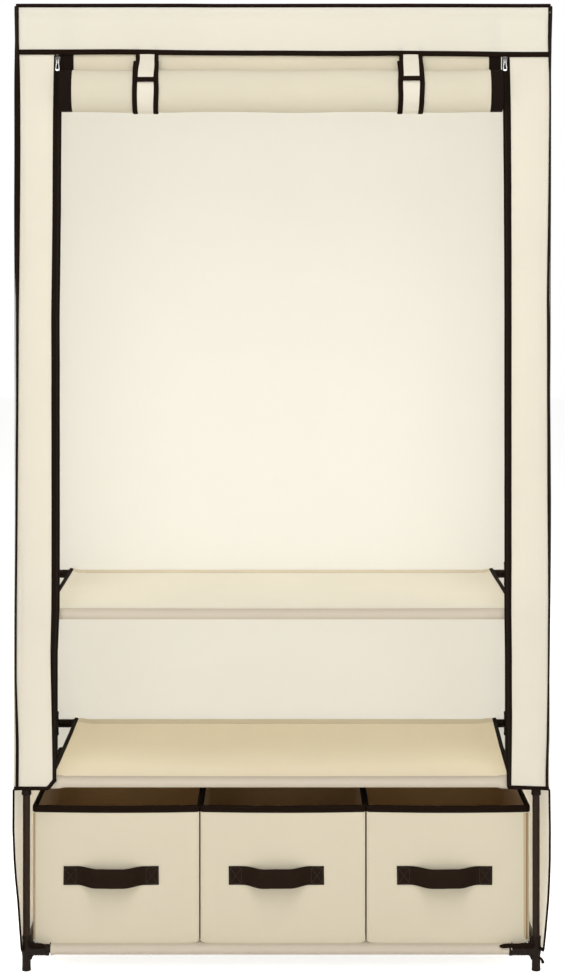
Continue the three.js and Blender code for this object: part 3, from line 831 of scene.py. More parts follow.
class StageStep(bpy.types.Operator):
    """Floor, sky, lamps and camera"""
    bl_idname = "wardrobe.stage"
    bl_label = "Stage"

    def execute(self, context):
        scene = context.scene
        stage = scene.wardrobe_stage
        scene.view_settings.view_transform = "Standard"
        floor = Skin()
        span = np.linspace(-14, 14, 9)
        x, y = np.meshgrid(span, span)
        grid = join(x, y, 0)
        floor.patch(floor.spots(grid), grid[..., :2])
        made = bpy.data.objects.new("floor", floor.mesh("floor"))
        scene.collection.objects.link(made)
        made.data.materials.append(self.floor_finish(tuple(stage.floor_colour)))
        self.sky(scene, stage.sky)
        reach = stage.camera_distance
        # Each lamp's name, place, aim, size and power
        lamps = (
            ("front_lamp_left", (-1.4, -reach * 1.4, 1.0), (0, 0, 0.85), 1.9, stage.key_power),
            ("front_lamp_right", (1.4, -reach * 1.4, 1.0), (0, 0, 0.85), 1.9, stage.key_power),
            ("middle_lamp", (0, -reach * 1.1, 3.2), (0, 0, 0.6), 2.6, stage.middle_power),
            ("high_lamp", (0, -2.6, 4.6), (0, 0, 0.7), 2.4, stage.high_power),
            ("left_lamp", (-4.2, 0.6, 2.0), (0, 0, 0.8), 2.6, stage.side_power),
            ("right_lamp", (4.2, 0.6, 2.0), (0, 0, 0.8), 2.6, stage.side_power),
            ("rear_lamp", (0.4, 4.2, 3.0), (0, 0, 1.2), 3.2, stage.rear_power),
        )
        for name, place, aim, size, power in lamps:
            light = bpy.data.lights.new(name, "AREA")
            light.shape = "DISK"
            light.size = size
            light.energy = power
            lamp = bpy.data.objects.new(name, light)
            lamp.location = place
            lamp.rotation_euler = (Vector(aim) - Vector(place)).to_track_quat("-Z", "Y").to_euler()
            scene.collection.objects.link(lamp)
        lens = bpy.data.cameras.new("camera")
        lens.lens = stage.lens
        lens.shift_y = stage.rise
        lens.clip_end = 100
        camera = bpy.data.objects.new("camera", lens)
        camera.location = (stage.camera_side, low("cover_top", 1) - stage.camera_distance,
                           stage.camera_height)
        camera.rotation_euler = (math.pi / 2, 0, 0)
        scene.collection.objects.link(camera)
        scene.camera = camera
        return {"FINISHED"}

    @staticmethod
    def seen(finish):
        """1 where the eye, a reflection or a look through glass meets the surface."""
        rays = finish.add("ShaderNodeLightPath").socket.node.outputs
        parts = [Wire(finish, rays[name]) for name in
                 ("Is Camera Ray", "Is Glossy Ray", "Is Transmission Ray")]
        return parts[0].larger(parts[1]).larger(parts[2])

    def floor_finish(self, colour):
        """Pale floor that keeps a soft shadow and fades into the white behind."""
        finish = Finish("floor")
        place = finish.place("Object")
        mottle = finish.noise(place, 6.0, 4.0, 0.6)
        body = finish.blend(mottle, tint(colour, 0.985), colour)
        matt = finish.add("ShaderNodeBsdfPrincipled", values={"Base Color": body, "Roughness": 0.8})
        glow = finish.add("ShaderNodeEmission",
                          values={"Color": (1, 1, 1, 1), "Strength": self.seen(finish) * 0.72})
        mixed = finish.add("ShaderNodeAddShader", values={0: matt, 1: glow})
        finish.end("ShaderNodeOutputMaterial", mixed)
        return finish.material

    def sky(self, scene, strength):
        """Even pale light all round, seen as plain white."""
        world = bpy.data.worlds.new("sky")
        world.use_nodes = True
        scene.world = world
        finish = Finish("sky_nodes", world.node_tree)
        even = finish.add("ShaderNodeBackground", values={"Color": (1, 1, 1, 1), "Strength": strength})
        plain = finish.add("ShaderNodeBackground", values={"Color": (1, 1, 1, 1), "Strength": 1.0})
        mixed = finish.add("ShaderNodeMixShader", values={0: self.seen(finish), 1: even, 2: plain})
        finish.end("ShaderNodeOutputWorld", mixed)


def tube_profile(length, radius, lip, mouth_share):
    """The turned shape of a tube: a mouth and an eased edge at each end of its length."""
    end = [(0, radius * mouth_share), (0, radius - lip), (lip, radius)]
    run = [(share * length, radius) for share in np.linspace(0.02, 0.98, 13)]
    return end + run + [(length - place, size) for place, size in end[::-1]]


class TubesStep(bpy.types.Operator):
    """Posts and level tubes of painted steel"""
    bl_idname = "wardrobe.tubes"
    bl_label = "Tubes"

    def execute(self, context):
        sides = context.scene.wardrobe_frame.tube_sides
        for node in sorted(frame["nodes"]):
            if not node.startswith(("post_", "tube_")):
                continue
            start, end = (np.asarray(corner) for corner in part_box(node))
            size = end - start
            axis = int(np.argmax(size))
            radius = np.delete(size, axis).min() / 2
            foot = (start + end) / 2
            foot[axis] = start[axis]
            skin = Skin()
            skin.lathe(foot, np.eye(3)[axis], tube_profile(size[axis], radius, 0.6 * MM, 0.82), sides)
            piece(f"steel_{node}", skin, ["steel"], "root", [node])
        return {"FINISHED"}


# The bottom sockets are wider than the rest, and the two front ones differ in length.
BOTTOM_WIDER = 1.3 * MM
BOTTOM_LONGER = {"left": -2.5 * MM, "right": 5.0 * MM}
RIB_SHARES = (0.42, 0.54, 0.66)
RIB_HEIGHT = 0.4 * MM


def socket_profile(length, radius):
    """The turned shape of a socket: from its root, over three ribs, to its lip and mouth."""
    neck = radius - 0.55 * MM
    bore = TUBE + 0.1 * MM
    steps = [(-0.3 * radius, neck * 0.5), (0, neck)]
    for share in RIB_SHARES:
        rib = share * length
        steps += [(rib - 1.3 * MM, neck), (rib - 0.5 * MM, neck + RIB_HEIGHT),
                  (rib + 0.5 * MM, neck + RIB_HEIGHT), (rib + 1.3 * MM, neck)]
    steps += [(length - 6.5 * MM, neck), (length - 5.2 * MM, radius), (length - 0.9 * MM, radius),
              (length - 0.2 * MM, radius - 0.3 * MM), (length, radius - 0.9 * MM),
              (length, bore), (length - 2.5 * MM, bore)]
    return steps


class ConnectorsStep(bpy.types.Operator):
    """Moulded corner connectors, the lowest with feet"""
    bl_idname = "wardrobe.connectors"
    bl_label = "Connectors"

    def execute(self, context):
        for level, z in LEVELS.items():
            for end, y in POST_Y.items():
                for hand, side in SIDES.items():
                    self.corner(level, end, hand, np.array([side * POST_X, y, z]))
        return {"FINISHED"}

    def corner(self, level, end, hand, centre):
        """Builds one connector round its post."""
        node = f"connector_{level}_{end}_{hand}"
        skin = Skin()
        inward = np.array([-np.sign(centre[0]), 0, 0])
        along = np.array([0, 1.0 if end == "front" else -1.0, 0])
        radius, reach = SOCKET, REACH
        if level == "bottom":
            radius += BOTTOM_WIDER
            reach += BOTTOM_LONGER[hand] if end == "front" else 0
            self.foot(skin, centre)
            for direction in (inward, along):
                self.web(skin, centre, direction)
        else:
            self.collar(skin, centre, (0, 0, -1), centre[2] - low(node, 2))
        # A wider socket sits lower, so that the tops of all sockets stay level.
        root = centre - np.array([0, 0, radius - SOCKET])
        skin.lathe(root, inward, socket_profile(reach, radius))
        skin.lathe(root, along, socket_profile(REACH, radius))
        self.collar(skin, centre, (0, 0, 1), high(node, 2) - centre[2])
        piece(f"moulded_{node}", skin, ["plastic"], "root", [node])

    @staticmethod
    def collar(skin, centre, axis, length):
        """The sleeve round the post, rounded at its mouth."""
        profile = [(-1 * MM, SOCKET * 0.6), (0, SOCKET * 0.97)]
        if length > SOCKET * 1.2:
            profile += [(length - 6 * MM, SOCKET * 0.95), (length - 4.8 * MM, SOCKET),
                        (length - 1.0 * MM, SOCKET), (length - 0.2 * MM, SOCKET - 0.5 * MM)]
        else:
            profile += [(length - 2.4 * MM, SOCKET * 0.96), (length - 0.9 * MM, SOCKET * 0.84)]
        profile += [(length, SOCKET - 1.6 * MM), (length, TUBE * 0.9)]
        skin.lathe(centre, axis, profile)

    @staticmethod
    def foot(skin, centre):
        """The foot under a bottom connector, a little wider where it stands."""
        top = centre[2]
        profile = [(0, 4.5 * MM), (0, 6.7 * MM), (0.7 * MM, 7.4 * MM), (3.6 * MM, 7.4 * MM),
                   (4.6 * MM, 7.1 * MM), (9 * MM, 7.0 * MM), (FOOT_TOP - 3 * MM, 7.0 * MM),
                   (FOOT_TOP - 1 * MM, 7.2 * MM), (FOOT_TOP + 1.5 * MM, 7.8 * MM), (top, 7.8 * MM)]
        skin.lathe((centre[0], centre[1], 0), (0, 0, 1), profile)

    @staticmethod
    def web(skin, centre, direction):
        """The thin fillet in the corner between a bottom socket and its foot."""
        up = np.array([0, 0, 1.0])
        span = 9 * MM
        inset = span + 1.5 * MM
        corner = centre + (direction - up) * (SOCKET + span)
        path = np.array([corner - (direction * math.cos(angle) - up * math.sin(angle)) * inset
                         for angle in np.linspace(0, math.pi / 2, 9)])
        skin.sweep(path, np.cross(direction, up), 4.5 * MM, 5.0 * MM, power=2.6, sides=12,
                   rounded=1.5 * MM)


class RailStep(bpy.types.Operator):
    """Hanger rail and the hangers that hold it under the side tubes"""
    bl_idname = "wardrobe.rail"
    bl_label = "Hanger rail"

    def execute(self, context):
        centre = middle("hanger_rail")
        rail_z = low("hanger_rail", 2) + SOCKET
        half = (high("hanger_rail", 1) - low("hanger_rail", 1)) / 2
        skin = Skin()
        span = 2 * (POST_X - 4 * MM)
        skin.lathe((-span / 2, centre[1], rail_z), (1, 0, 0), tube_profile(span, TUBE, 0.5 * MM, 0.8))
        piece("hanger_rail_tube", skin, ["steel"], "root", ["hanger_rail"])
        for hand, side in SIDES.items():
            hanger = Skin()
            lip = 1.0 * MM
            ring = [(0, SOCKET - 1.7 * MM), (0, SOCKET - lip), (lip, SOCKET), (2 * half - lip, SOCKET),
                    (2 * half, SOCKET - lip), (2 * half, SOCKET - 1.7 * MM)]
            hanger.lathe((side * POST_X, centre[1] - half, LEVELS["top"]), (0, 1, 0), ring)
            cup = [(0, SOCKET * 0.5), (0, SOCKET - lip), (lip, SOCKET), (28 * MM, SOCKET),
                   (30 * MM - lip / 2, SOCKET - lip / 2), (30 * MM, SOCKET - 1.2 * MM),
                   (30 * MM, TUBE), (27 * MM, TUBE)]
            hanger.lathe((side * (POST_X + SOCKET), centre[1], rail_z), (-side, 0, 0), cup)
            path = join(side * POST_X, centre[1], np.linspace(rail_z, LEVELS["top"], 9))
            flare = 1 + 0.35 * np.linspace(-1, 1, 9) ** 2
            hanger.sweep(path, (0, 1, 0), 17 * MM * flare, 7 * MM, power=4, sides=20)
            piece(f"rail_hanger_{hand}", hanger, ["plastic"], "root")
        return {"FINISHED"}


def lean(z, x=HALF_WIDTH):
    """How far the cover stands to one side at a height; its left edge is drawn in a little more."""
    drawn = np.interp(z, np.array([400, 900, 1450, 1510, 1588]) * MM,
                      np.array([0, 1.2, 1.5, 2.6, 2.8]) * MM)
    return (bpy.context.scene.wardrobe_cloth.lean * np.asarray(z, float) / TOP_Z
            + drawn * np.clip(-np.asarray(x, float) / HALF_WIDTH, 0, 1))


# How far the lower end of a side panel's front edge is drawn in, at heights above the floor
HEM_HEIGHTS = np.array([40, 43.5, 73, 122, 155, 188, 237, 302, 420]) * MM
HEM_PULLS = {
    "left": np.array([13.0, 12.6, 10.4, 6.8, 3.4, 0.9, -1.1, -0.8, 0.0]) * MM,
    "right": np.array([8.8, 8.2, 5.2, 1.0, -0.6, -1.6, -1.7, -0.8, 0.0]) * MM,
}
HEM_DROOP = 16 * MM


def swelling(value, start, end):
    """0 at the start and end of a stretch and 1 in its middle."""
    return np.sin(math.pi * np.clip((value - start) / (end - start), 0, 1))


def hem_low(y):
    """The height of a side panel's lower edge, which hangs lower between the posts."""
    return COVER_BOTTOM - HEM_DROOP * swelling(y, FRONT_Y, BACK_Y) ** 0.7


def side_x(hand, y, z):
    """Where a side panel stands, with its dip between the posts and its drawn-in hem."""
    side = SIDES[hand]
    wrinkle = bpy.context.scene.wardrobe_cloth.wrinkle
    between_posts = swelling(y, FRONT_Y, BACK_Y)
    dip = 3.4 * MM * between_posts ** 0.8 * swelling(z, COVER_BOTTOM, TOP_Z) ** 0.6
    free = between_posts ** 0.6 * ease(TOP_Z - z, 0, 60 * MM)
    folds = wrinkle * 0.9 * billow(y, z * 0.45, 11 + side, 0.34, 7) * free
    fall = 1.3 * MM * wander(y, 3 + side, 3, 0.3) * ease(-z, -0.3, -0.02) * free
    near = 1 / (1 + ((y - FRONT_Y) / (15 * MM)) ** 2)
    front = np.interp(z, HEM_HEIGHTS, HEM_PULLS[hand])
    rear = 10.5 * MM * ease(-z, -0.2, -0.03)
    pull = front * near + rear * (1 - near)
    out = HALF_WIDTH - dip - pull + np.minimum(folds + fall, dip)
    return side * out + lean(z, side * HALF_WIDTH)


def valance_low(x):
    """The height of the valance's lower edge across its width."""
    slope = 1.3 * MM + 2.1 * MM * x / HALF_WIDTH
    return VALANCE_BOTTOM - slope + 0.7 * MM * wander(x, 5, 4, 0.5)


class CoverStep(bpy.types.Operator):
    """Roof with its valance, back panel and side panels"""
    bl_idname = "wardrobe.cover"
    bl_label = "Cover"

    def execute(self, context):
        self.roof(context)
        self.back(context)
        for hand in SIDES:
            self.side(hand)
        return {"FINISHED"}

    @staticmethod
    def roof(context):
        """One cloth over the top and folded down over the front edge."""
        wrinkle = context.scene.wardrobe_cloth.wrinkle
        bend = 3.2 * MM
        sag_depth = 1.7 * MM
        top_fold_height = 1.5 * MM
        roof_run = np.linspace(BACK_Y, VALANCE_Y + bend, 44)
        turn = np.linspace(0, math.pi / 2, 7)[1:-1]
        drop = np.linspace(0, 1, 22)
        x = np.linspace(-HALF_WIDTH, HALF_WIDTH, 150)
        rows = []
        for y in roof_run:
            deep = (y - VALANCE_Y) / (BACK_Y - VALANCE_Y)
            hold = np.sin(math.pi * deep) * np.sqrt(np.clip(1 - (x / HALF_WIDTH) ** 2, 0, 1))
            sag = hold * (sag_depth + wrinkle * 0.35 * billow(x, y, 21, 0.3))
            rows.append(join(x, y, TOP_Z - sag))
        for angle in turn:
            y = VALANCE_Y + bend * (1 - math.sin(angle))
            z = TOP_Z - bend * (1 - math.cos(angle))
            rows.append(join(x, y, z))
        hem = valance_low(x)
        for share in drop:
            z = (TOP_Z - bend) * (1 - share) + hem * share
            loose = np.sin(math.pi * min(share, 0.96)) ** 0.8
            swell = top_fold_height * math.exp(-((share - 0.1) / 0.07) ** 2)
            out = wrinkle * 0.8 * loose * billow(x * 1.3, z * 0.5, 23, 0.42, 5) + swell
            rows.append(join(x, VALANCE_Y - np.clip(out, -0.5 * MM, 2 * MM), z))
        grid = np.array(rows)
        grid[..., 0] += lean(grid[..., 2], grid[..., 0])
        run = travel(grid[:, len(x) // 2])
        coords = join(x, run[:, None])
        skin = Skin()
        skin.cloth(grid, coords)
        made = piece("roof_and_valance", skin, ["valance"], "root", ["cover_top"])

    @staticmethod
    def back(context):
        """The back panel, drawn flat over the rear posts."""
        wrinkle = context.scene.wardrobe_cloth.wrinkle
        half = high("cover_back", 0)
        x, z = np.meshgrid(np.linspace(half, -half, 90), np.linspace(TOP_Z - CLOTH, COVER_BOTTOM, 150))
        edge = np.clip(1 - np.abs(x / half) ** 4, 0, 1) * ease(TOP_Z - z, 0, 60 * MM)
        y = BACK_Y + edge * (1.4 * MM + wrinkle * 0.9 * billow(x, z, 31, 0.6, 7))
        skin = Skin()
        skin.cloth(join(x + lean(z, x), y, z), join(x, z))
        made = piece("back_panel", skin, ["back"], "root", ["cover_back"])

    @staticmethod
    def side(hand):
        """A side panel from the front corner to the rear one."""
        share = np.linspace(0, 1, 180)
        y = np.concatenate([np.linspace(0, 0.08, 22)[:-1], np.linspace(0.08, 1, 66)])
        y = FRONT_Y + (BACK_Y - FRONT_Y) * y
        if SIDES[hand] < 0:
            y = y[::-1]
        y, share = np.meshgrid(y, share)
        z = (TOP_Z - CLOTH) * (1 - share) + hem_low(y) * share
        skin = Skin()
        skin.cloth(join(side_x(hand, y, z), y, z), join(y, z))
        made = piece(f"side_panel_{hand}", skin, ["side"], "root",
                     [f"cover_side_{hand}"])


# Where the zips stand, left and right of the middle, and how wide their tapes show
ZIP_HEIGHTS = np.array([303, 350, 420, 530, 600, 1105, 1413, 1510, 1590]) * MM
ZIP_PLACES = {
    "left": np.array([372.1, 371.6, 372.0, 372.2, 370.2, 370.1, 367.6, 366.6, 366.4]) * MM,
    "right": np.array([373.4, 373.2, 372.8, 372.0, 371.0, 371.2, 369.3, 367.4, 367.0]) * MM,
}
TAPE_WIDTHS = {
    "left": np.array([6.0, 7.0, 9.5, 12.5, 14.0, 14.2, 14.4, 13.0, 12.0]) * MM,
    "right": np.array([7.5, 9.0, 11.0, 11.8, 12.0, 12.2, 13.3, 13.0, 12.0]) * MM,
}


def zip_x(hand, z):
    """Where the middle of a front strip's zip tape stands."""
    place = np.interp(z, ZIP_HEIGHTS, ZIP_PLACES[hand])
    return SIDES[hand] * (place + 0.35 * MM * wander(z, 7 + SIDES[hand], 4, 0.5))


def strip_low(hand, x):
    """The height of a front strip's lower edge; its inner corner is cut off or drawn up."""
    inward = HALF_WIDTH - np.abs(x)
    if hand == "left":
        cut = 15 * MM * ease(inward, 53 * MM, 70 * MM)
        return STRIP_BOTTOM + 1.5 * MM + cut
    return STRIP_BOTTOM + 1.2 * MM + 2.4 * MM * inward / (70 * MM)


def strip_y(hand, x, z):
    """How far forward a front strip stands, with its soft folds."""
    wrinkle = bpy.context.scene.wardrobe_cloth.wrinkle
    seed = 41 + SIDES[hand]
    inward = HALF_WIDTH - np.abs(x)
    crease = 1.3 * MM * np.exp(-((inward - 10 * MM) / (4.5 * MM)) ** 2)
    crease = crease * (0.65 + 0.35 * wander(z, seed + 5, 3, 0.8))
    soft = wrinkle * 0.9 * billow(x * 0.8, z * 0.6, seed, 0.26, 6)
    curl = 1.2 * MM * wander(z, seed + 9, 4, 0.35) * ease(inward, 40 * MM, 66 * MM)
    hold = ease(TOP_Z - z, 0.075, 0.14)
    return FRONT_Y + crease - (soft + curl) * hold - 0.2 * MM * hold


class StripsStep(bpy.types.Operator):
    """Front strips beside the opening"""
    bl_idname = "wardrobe.strips"
    bl_label = "Front strips"

    def execute(self, context):
        for hand, side in SIDES.items():
            share = np.linspace(0, 1, 34)
            down = np.linspace(0, 1, 240)
            outer = side * HALF_WIDTH
            rows = []
            for step in down:
                z = (TOP_Z - CLOTH) * (1 - step) + STRIP_BOTTOM * step
                inner = zip_x(hand, z) - side * 1.0 * MM
                x = outer + (inner - outer) * share
                z = (TOP_Z - CLOTH) * (1 - step) + strip_low(hand, x) * step
                rows.append(join(x + lean(z, x) * (1 - share * 0.7), strip_y(hand, x, z), z))
            grid = np.array(rows)
            if side > 0:
                grid = grid[:, ::-1]
            skin = Skin()
            skin.cloth(grid, join(grid[..., 0], grid[..., 2]))
            made = piece(f"front_strip_{hand}", skin, ["cover"], "root",
                         [f"cover_front_strip_{hand}"])
        return {"FINISHED"}


def bind(name, path, across, width, depth=None, closed=False):
    """Sews one run of binding along an edge; widths are in millimetres."""
    depth = bpy.context.scene.wardrobe_trim.binding_depth if depth is None else depth * MM
    skin = Skin()
    skin.sweep(path, across, width * MM, depth, power=3.2, sides=14, closed=closed,
               rounded=0.0 if closed else 1.6 * MM)
    return piece(f"binding_{name}", skin, ["binding"], "root")


# The front corners' binding: its place beside the corner in millimetres and its turn in degrees
CORNER_HEIGHTS = np.array([335, 384, 483, 614, 777, 941, 1105, 1269, 1433, 1474, 1530, 1578]) * MM
CORNERS = {
    "left": ((2.7, 2.7, 1.3, 1.4, 2.1, 2.7, 2.9, 3.0, 3.1, 3.0, 2.6, 1.9),
             (35, 35, 64, 66, 61, 54, 44, 12, 10, 22, 50, 44)),
    "right": ((-2.0, -1.0, -0.3, 1.0, 0.6, -0.8, -1.0, 0.5, 1.3, 0.9, -0.1, 0.8),
              (47, 57, 72, 68, 48, 55, 45, 62, 75, 72, 45, 38)),
}
# Loose tape ends: side, distances of both ends from the middle and rise in millimetres, slope
LOOSE_ENDS = (("left", 415, 389, 1.8, 0.15), ("right", 416, 359, 0.0, 0.03))


class BindingStep(bpy.types.Operator):
    """Dark binding along the cover's edges"""
    bl_idname = "wardrobe.binding"
    bl_label = "Binding"

    def execute(self, context):
        self.roof_edge()
        self.valance_edge()
        for hand in SIDES:
            self.front_corner(hand)
            self.rear_corner(hand)
            self.strip_edge(hand)
            self.free_edge(hand)
        self.hem()
        self.loose_ends()
        return {"FINISHED"}

    @staticmethod
    def roof_edge():
        """All round the roof."""
        x, front, rear = HALF_WIDTH, VALANCE_Y, BACK_Y
        path = [(-x, front, 0), (x, front, 0), (x, rear, 0), (-x, rear, 0), (-x, front, 0)]
        path = resample(path, 6 * MM)[:-1]
        wave = 0.35 * MM * wander(travel(path), 13, 5, 0.5)
        path[:, 2] = TOP_Z - 0.5 * MM + wave
        at_side = np.where(np.abs(path[:, 0]) > x - 1e-6, np.sign(path[:, 0]), 0.0)
        at_end = np.where(path[:, 1] < front + 1e-6, -1.0,
                          np.where(path[:, 1] > rear - 1e-6, 1.0, 0.0))
        outward = unit(join(at_side, at_end, 4.0))
        path[:, 0] += lean(TOP_Z, path[:, 0])
        bind("roof", path, outward, 8.2, closed=True)

    @staticmethod
    def valance_edge():
        """Along the valance's lower edge."""
        x = np.linspace(-HALF_WIDTH, HALF_WIDTH, 170)
        z = valance_low(x)
        bind("valance", join(x + lean(z, x), VALANCE_Y, z), (0, 0, 1), 8.9)

    @staticmethod
    def front_corner(hand):
        """Down a front corner; the band turns, so that it shows wide or narrow."""
        side = SIDES[hand]
        z = np.linspace(TOP_Z, STRIP_BOTTOM + 1 * MM, 260)
        place, turn = (np.interp(z, CORNER_HEIGHTS, values) for values in CORNERS[hand])
        x = side * (HALF_WIDTH - 0.6 * MM) + lean(z) + place * MM
        y = np.where(z > VALANCE_BOTTOM, VALANCE_Y, FRONT_Y - 0.4 * MM)
        x = x + 0.3 * MM * wander(z, 51 + side, 4, 0.6)
        turn = np.radians(turn)
        across = join(np.cos(turn) * side, np.sin(turn), 0)
        bind(f"front_{hand}", join(x, y, z), across, 9.0 if hand == "right" else 10.4)

    @staticmethod
    def rear_corner(hand):
        """Down a rear corner."""
        side = SIDES[hand]
        z = np.linspace(TOP_Z, COVER_BOTTOM, 260)
        x = side_x(hand, BACK_Y, z)
        turn = np.radians(35 + 20 * wander(z, 61 + side, 3, 0.9))
        across = join(np.cos(turn) * side, -np.sin(turn), 0)
        y = BACK_Y + 0.6 * MM * wander(z, 63 + side, 4, 0.6)
        bind(f"rear_{hand}", join(x, y, z), across, 7)

    @staticmethod
    def strip_edge(hand):
        """Along a front strip's lower edge."""
        inner = abs(zip_x(hand, STRIP_BOTTOM)) - 2.5 * MM
        x = SIDES[hand] * np.linspace(HALF_WIDTH, inner, 40)
        z = strip_low(hand, x)
        path = join(x + lean(z), strip_y(hand, x, z) - 0.2 * MM, z)
        bind(f"strip_{hand}", path, (0, 0, 1), 6.6)

    @staticmethod
    def free_edge(hand):
        """Down the loose front edge of a side panel, below its front strip."""
        z = np.linspace(STRIP_BOTTOM, COVER_BOTTOM - 1 * MM, 70)
        path = join(side_x(hand, FRONT_Y, z), FRONT_Y - 0.3 * MM, z)
        bind(f"free_edge_{hand}", path, (0.25 * SIDES[hand], 1, 0), 6.0, 3.5)

    @staticmethod
    def loose_ends():
        """The ends of the bottom shelf's binding, on the front sockets, and a loop at one foot."""
        top = LEVELS["bottom"] + SOCKET + BOTTOM_WIDER
        for hand, outer, inner, rise, slope in LOOSE_ENDS:
            side = SIDES[hand]
            run = np.linspace(outer, inner, 24) * MM
            rough = 0.5 * MM * wander(run, 131 + side, 5, 0.02)
            path = join(side * run, POST_Y["front"] - 8.4 * MM + rough,
                        top + rise * MM - slope * (outer * MM - run) + rough)
            taper = 1 - 0.45 * ease(run, (inner + 8) * MM, inner * MM)
            made = bind(f"tape_end_{hand}", path, (0, 0.3, 1), 7.4 * taper)
            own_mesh(made)
        fold = np.linspace(0, 1, 12)
        path = join(POST_X + (4.5 + 6.5 * fold + 1.2 * np.sin(math.pi * fold)) * MM,
                    POST_Y["front"] - 4 * MM, (22.5 - 9.5 * fold ** 1.4) * MM)
        skin = Skin()
        skin.sweep(path, (0, 1, 0), 6 * MM, (3.0 + 2.4 * fold) * MM, power=2.6, rounded=1.6 * MM)
        piece("binding_foot_loop", skin, ["binding"], "root")

    @staticmethod
    def hem():
        """Along the lower edge of the sides and the back."""
        rear = np.linspace(-high("cover_back", 0), high("cover_back", 0), 120)
        deep = np.linspace(FRONT_Y, BACK_Y, 70)
        low_z = hem_low(deep)
        left = join(side_x("left", deep, low_z), deep, low_z)
        right = join(side_x("right", deep, low_z), deep, low_z)[::-1]
        back = join(rear, BACK_Y + 0.5 * MM, COVER_BOTTOM)
        path = resample(np.vstack([left, back[2:-2], right]), 5 * MM)
        bind("hem", path, (0, 0, 1), 6.0)


ZIP_BAND = 20 * MM
ROLL_HALF_DEPTH = 26 * MM
ROLL_HALF_HEIGHT = 36 * MM
ROLL_TURNS = 8.5
ROLL_CORE = 6 * MM
# How far up the roll, from its middle, the door's flat part joins it
SEWN_SHARE = 0.736
SEWN_TO = ROLL_Z + (high("door_roll", 2) - low("door_roll", 2)) / 2 * SEWN_SHARE
UNROLL = next(joint for joint in frame["joints"] if joint["name"] == "door_unroll")["range_m"][1]


def door_columns(count):
    """Places across the door: its left zip band, its cloth, its right zip band."""
    inner = DOOR_HALF - ZIP_BAND
    return (np.linspace(-DOOR_HALF, -inner, 7), np.linspace(-inner, inner, count),
            np.linspace(inner, DOOR_HALF, 7))


class DoorStep(bpy.types.Operator):
    """The door: its flat top behind the valance, and the roll under it"""
    bl_idname = "wardrobe.door"
    bl_label = "Rolled door"

    def execute(self, context):
        self.flat_part()
        self.roll()
        return {"FINISHED"}

    @staticmethod
    def flat_part():
        """The part between the roof seam and the roll."""
        top = TOP_Z - CLOTH
        z = np.linspace(top, SEWN_TO, 60)
        drawn = (top - z) + UNROLL * ease(z, top, SEWN_TO)
        skin = Skin()
        for kind, x in zip((1, 0, 1), door_columns(70)):
            over, down = np.meshgrid(x, z)
            hold = ease(top - down, 0, 50 * MM) * ease(down - SEWN_TO, 0, 20 * MM)
            y = DOOR_Y + 0.45 * MM * hold * billow(over, down, 71, 0.3)
            skin.cloth(join(over, y, down), join(x, -drawn[:, None]), kind)
        made = piece("door_flat_part", skin, ["door", "tape"], None, ["door_sheet"])
        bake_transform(made)

    @staticmethod
    def roll():
        """The door wound up in loose turns that sag a little between the straps."""
        per_turn = 44
        wound = np.arange(int(ROLL_TURNS * per_turn) + 1) / per_turn
        first = math.acos((DOOR_Y - ROLL_Y) / ROLL_HALF_DEPTH)
        angle = first - 2 * math.pi * wound
        drawn_in = ((ROLL_HALF_DEPTH - ROLL_CORE) / ROLL_TURNS * wound)[:, None]
        # The outer turns are looser than the inner ones, except where the first one starts.
        loose = (1 - drawn_in / (30 * MM)) * ease(wound, 0.0, 0.2)[:, None]
        skin = Skin()
        run = None
        for kind, x in zip((1, 0, 1), door_columns(84)):
            over, turned = np.meshgrid(x, angle)
            sag = 0.9 * MM * np.cos(over / DOOR_HALF * math.pi * 1.5) ** 2
            dent = 0.6 * MM * billow(over * 1.1, np.sin(turned) * 0.05, 77, 0.24, 5)
            bulge = dent * loose - CLOTH / 2 - drawn_in
            y = ROLL_Y + (ROLL_HALF_DEPTH + bulge) * np.cos(turned)
            z = ROLL_Z + (ROLL_HALF_HEIGHT + bulge) * np.sin(turned) - sag * loose
            grid = join(over, y, z)
            if run is None:
                run = travel(grid[:, 0])
            skin.cloth(grid, join(x, -run[:, None]), kind)
        made = piece("door_roll_cloth", skin, ["door", "tape"], "rolled_door",
                     ["door_roll"], sharp=60)
        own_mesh(made)


STRAP_MIDDLES = {"left": -219.8 * MM, "right": 211.6 * MM}
STRAP_HALF_WIDTHS = {"lower": 20.0 * MM, "upper": 18.6 * MM}
# Where each strap lies against the roll, in degrees round it
LOWER_STRAP_TURN = (125, 358)
UPPER_STRAP_TURNS = {"left": (124, 155), "right": (124, 152)}


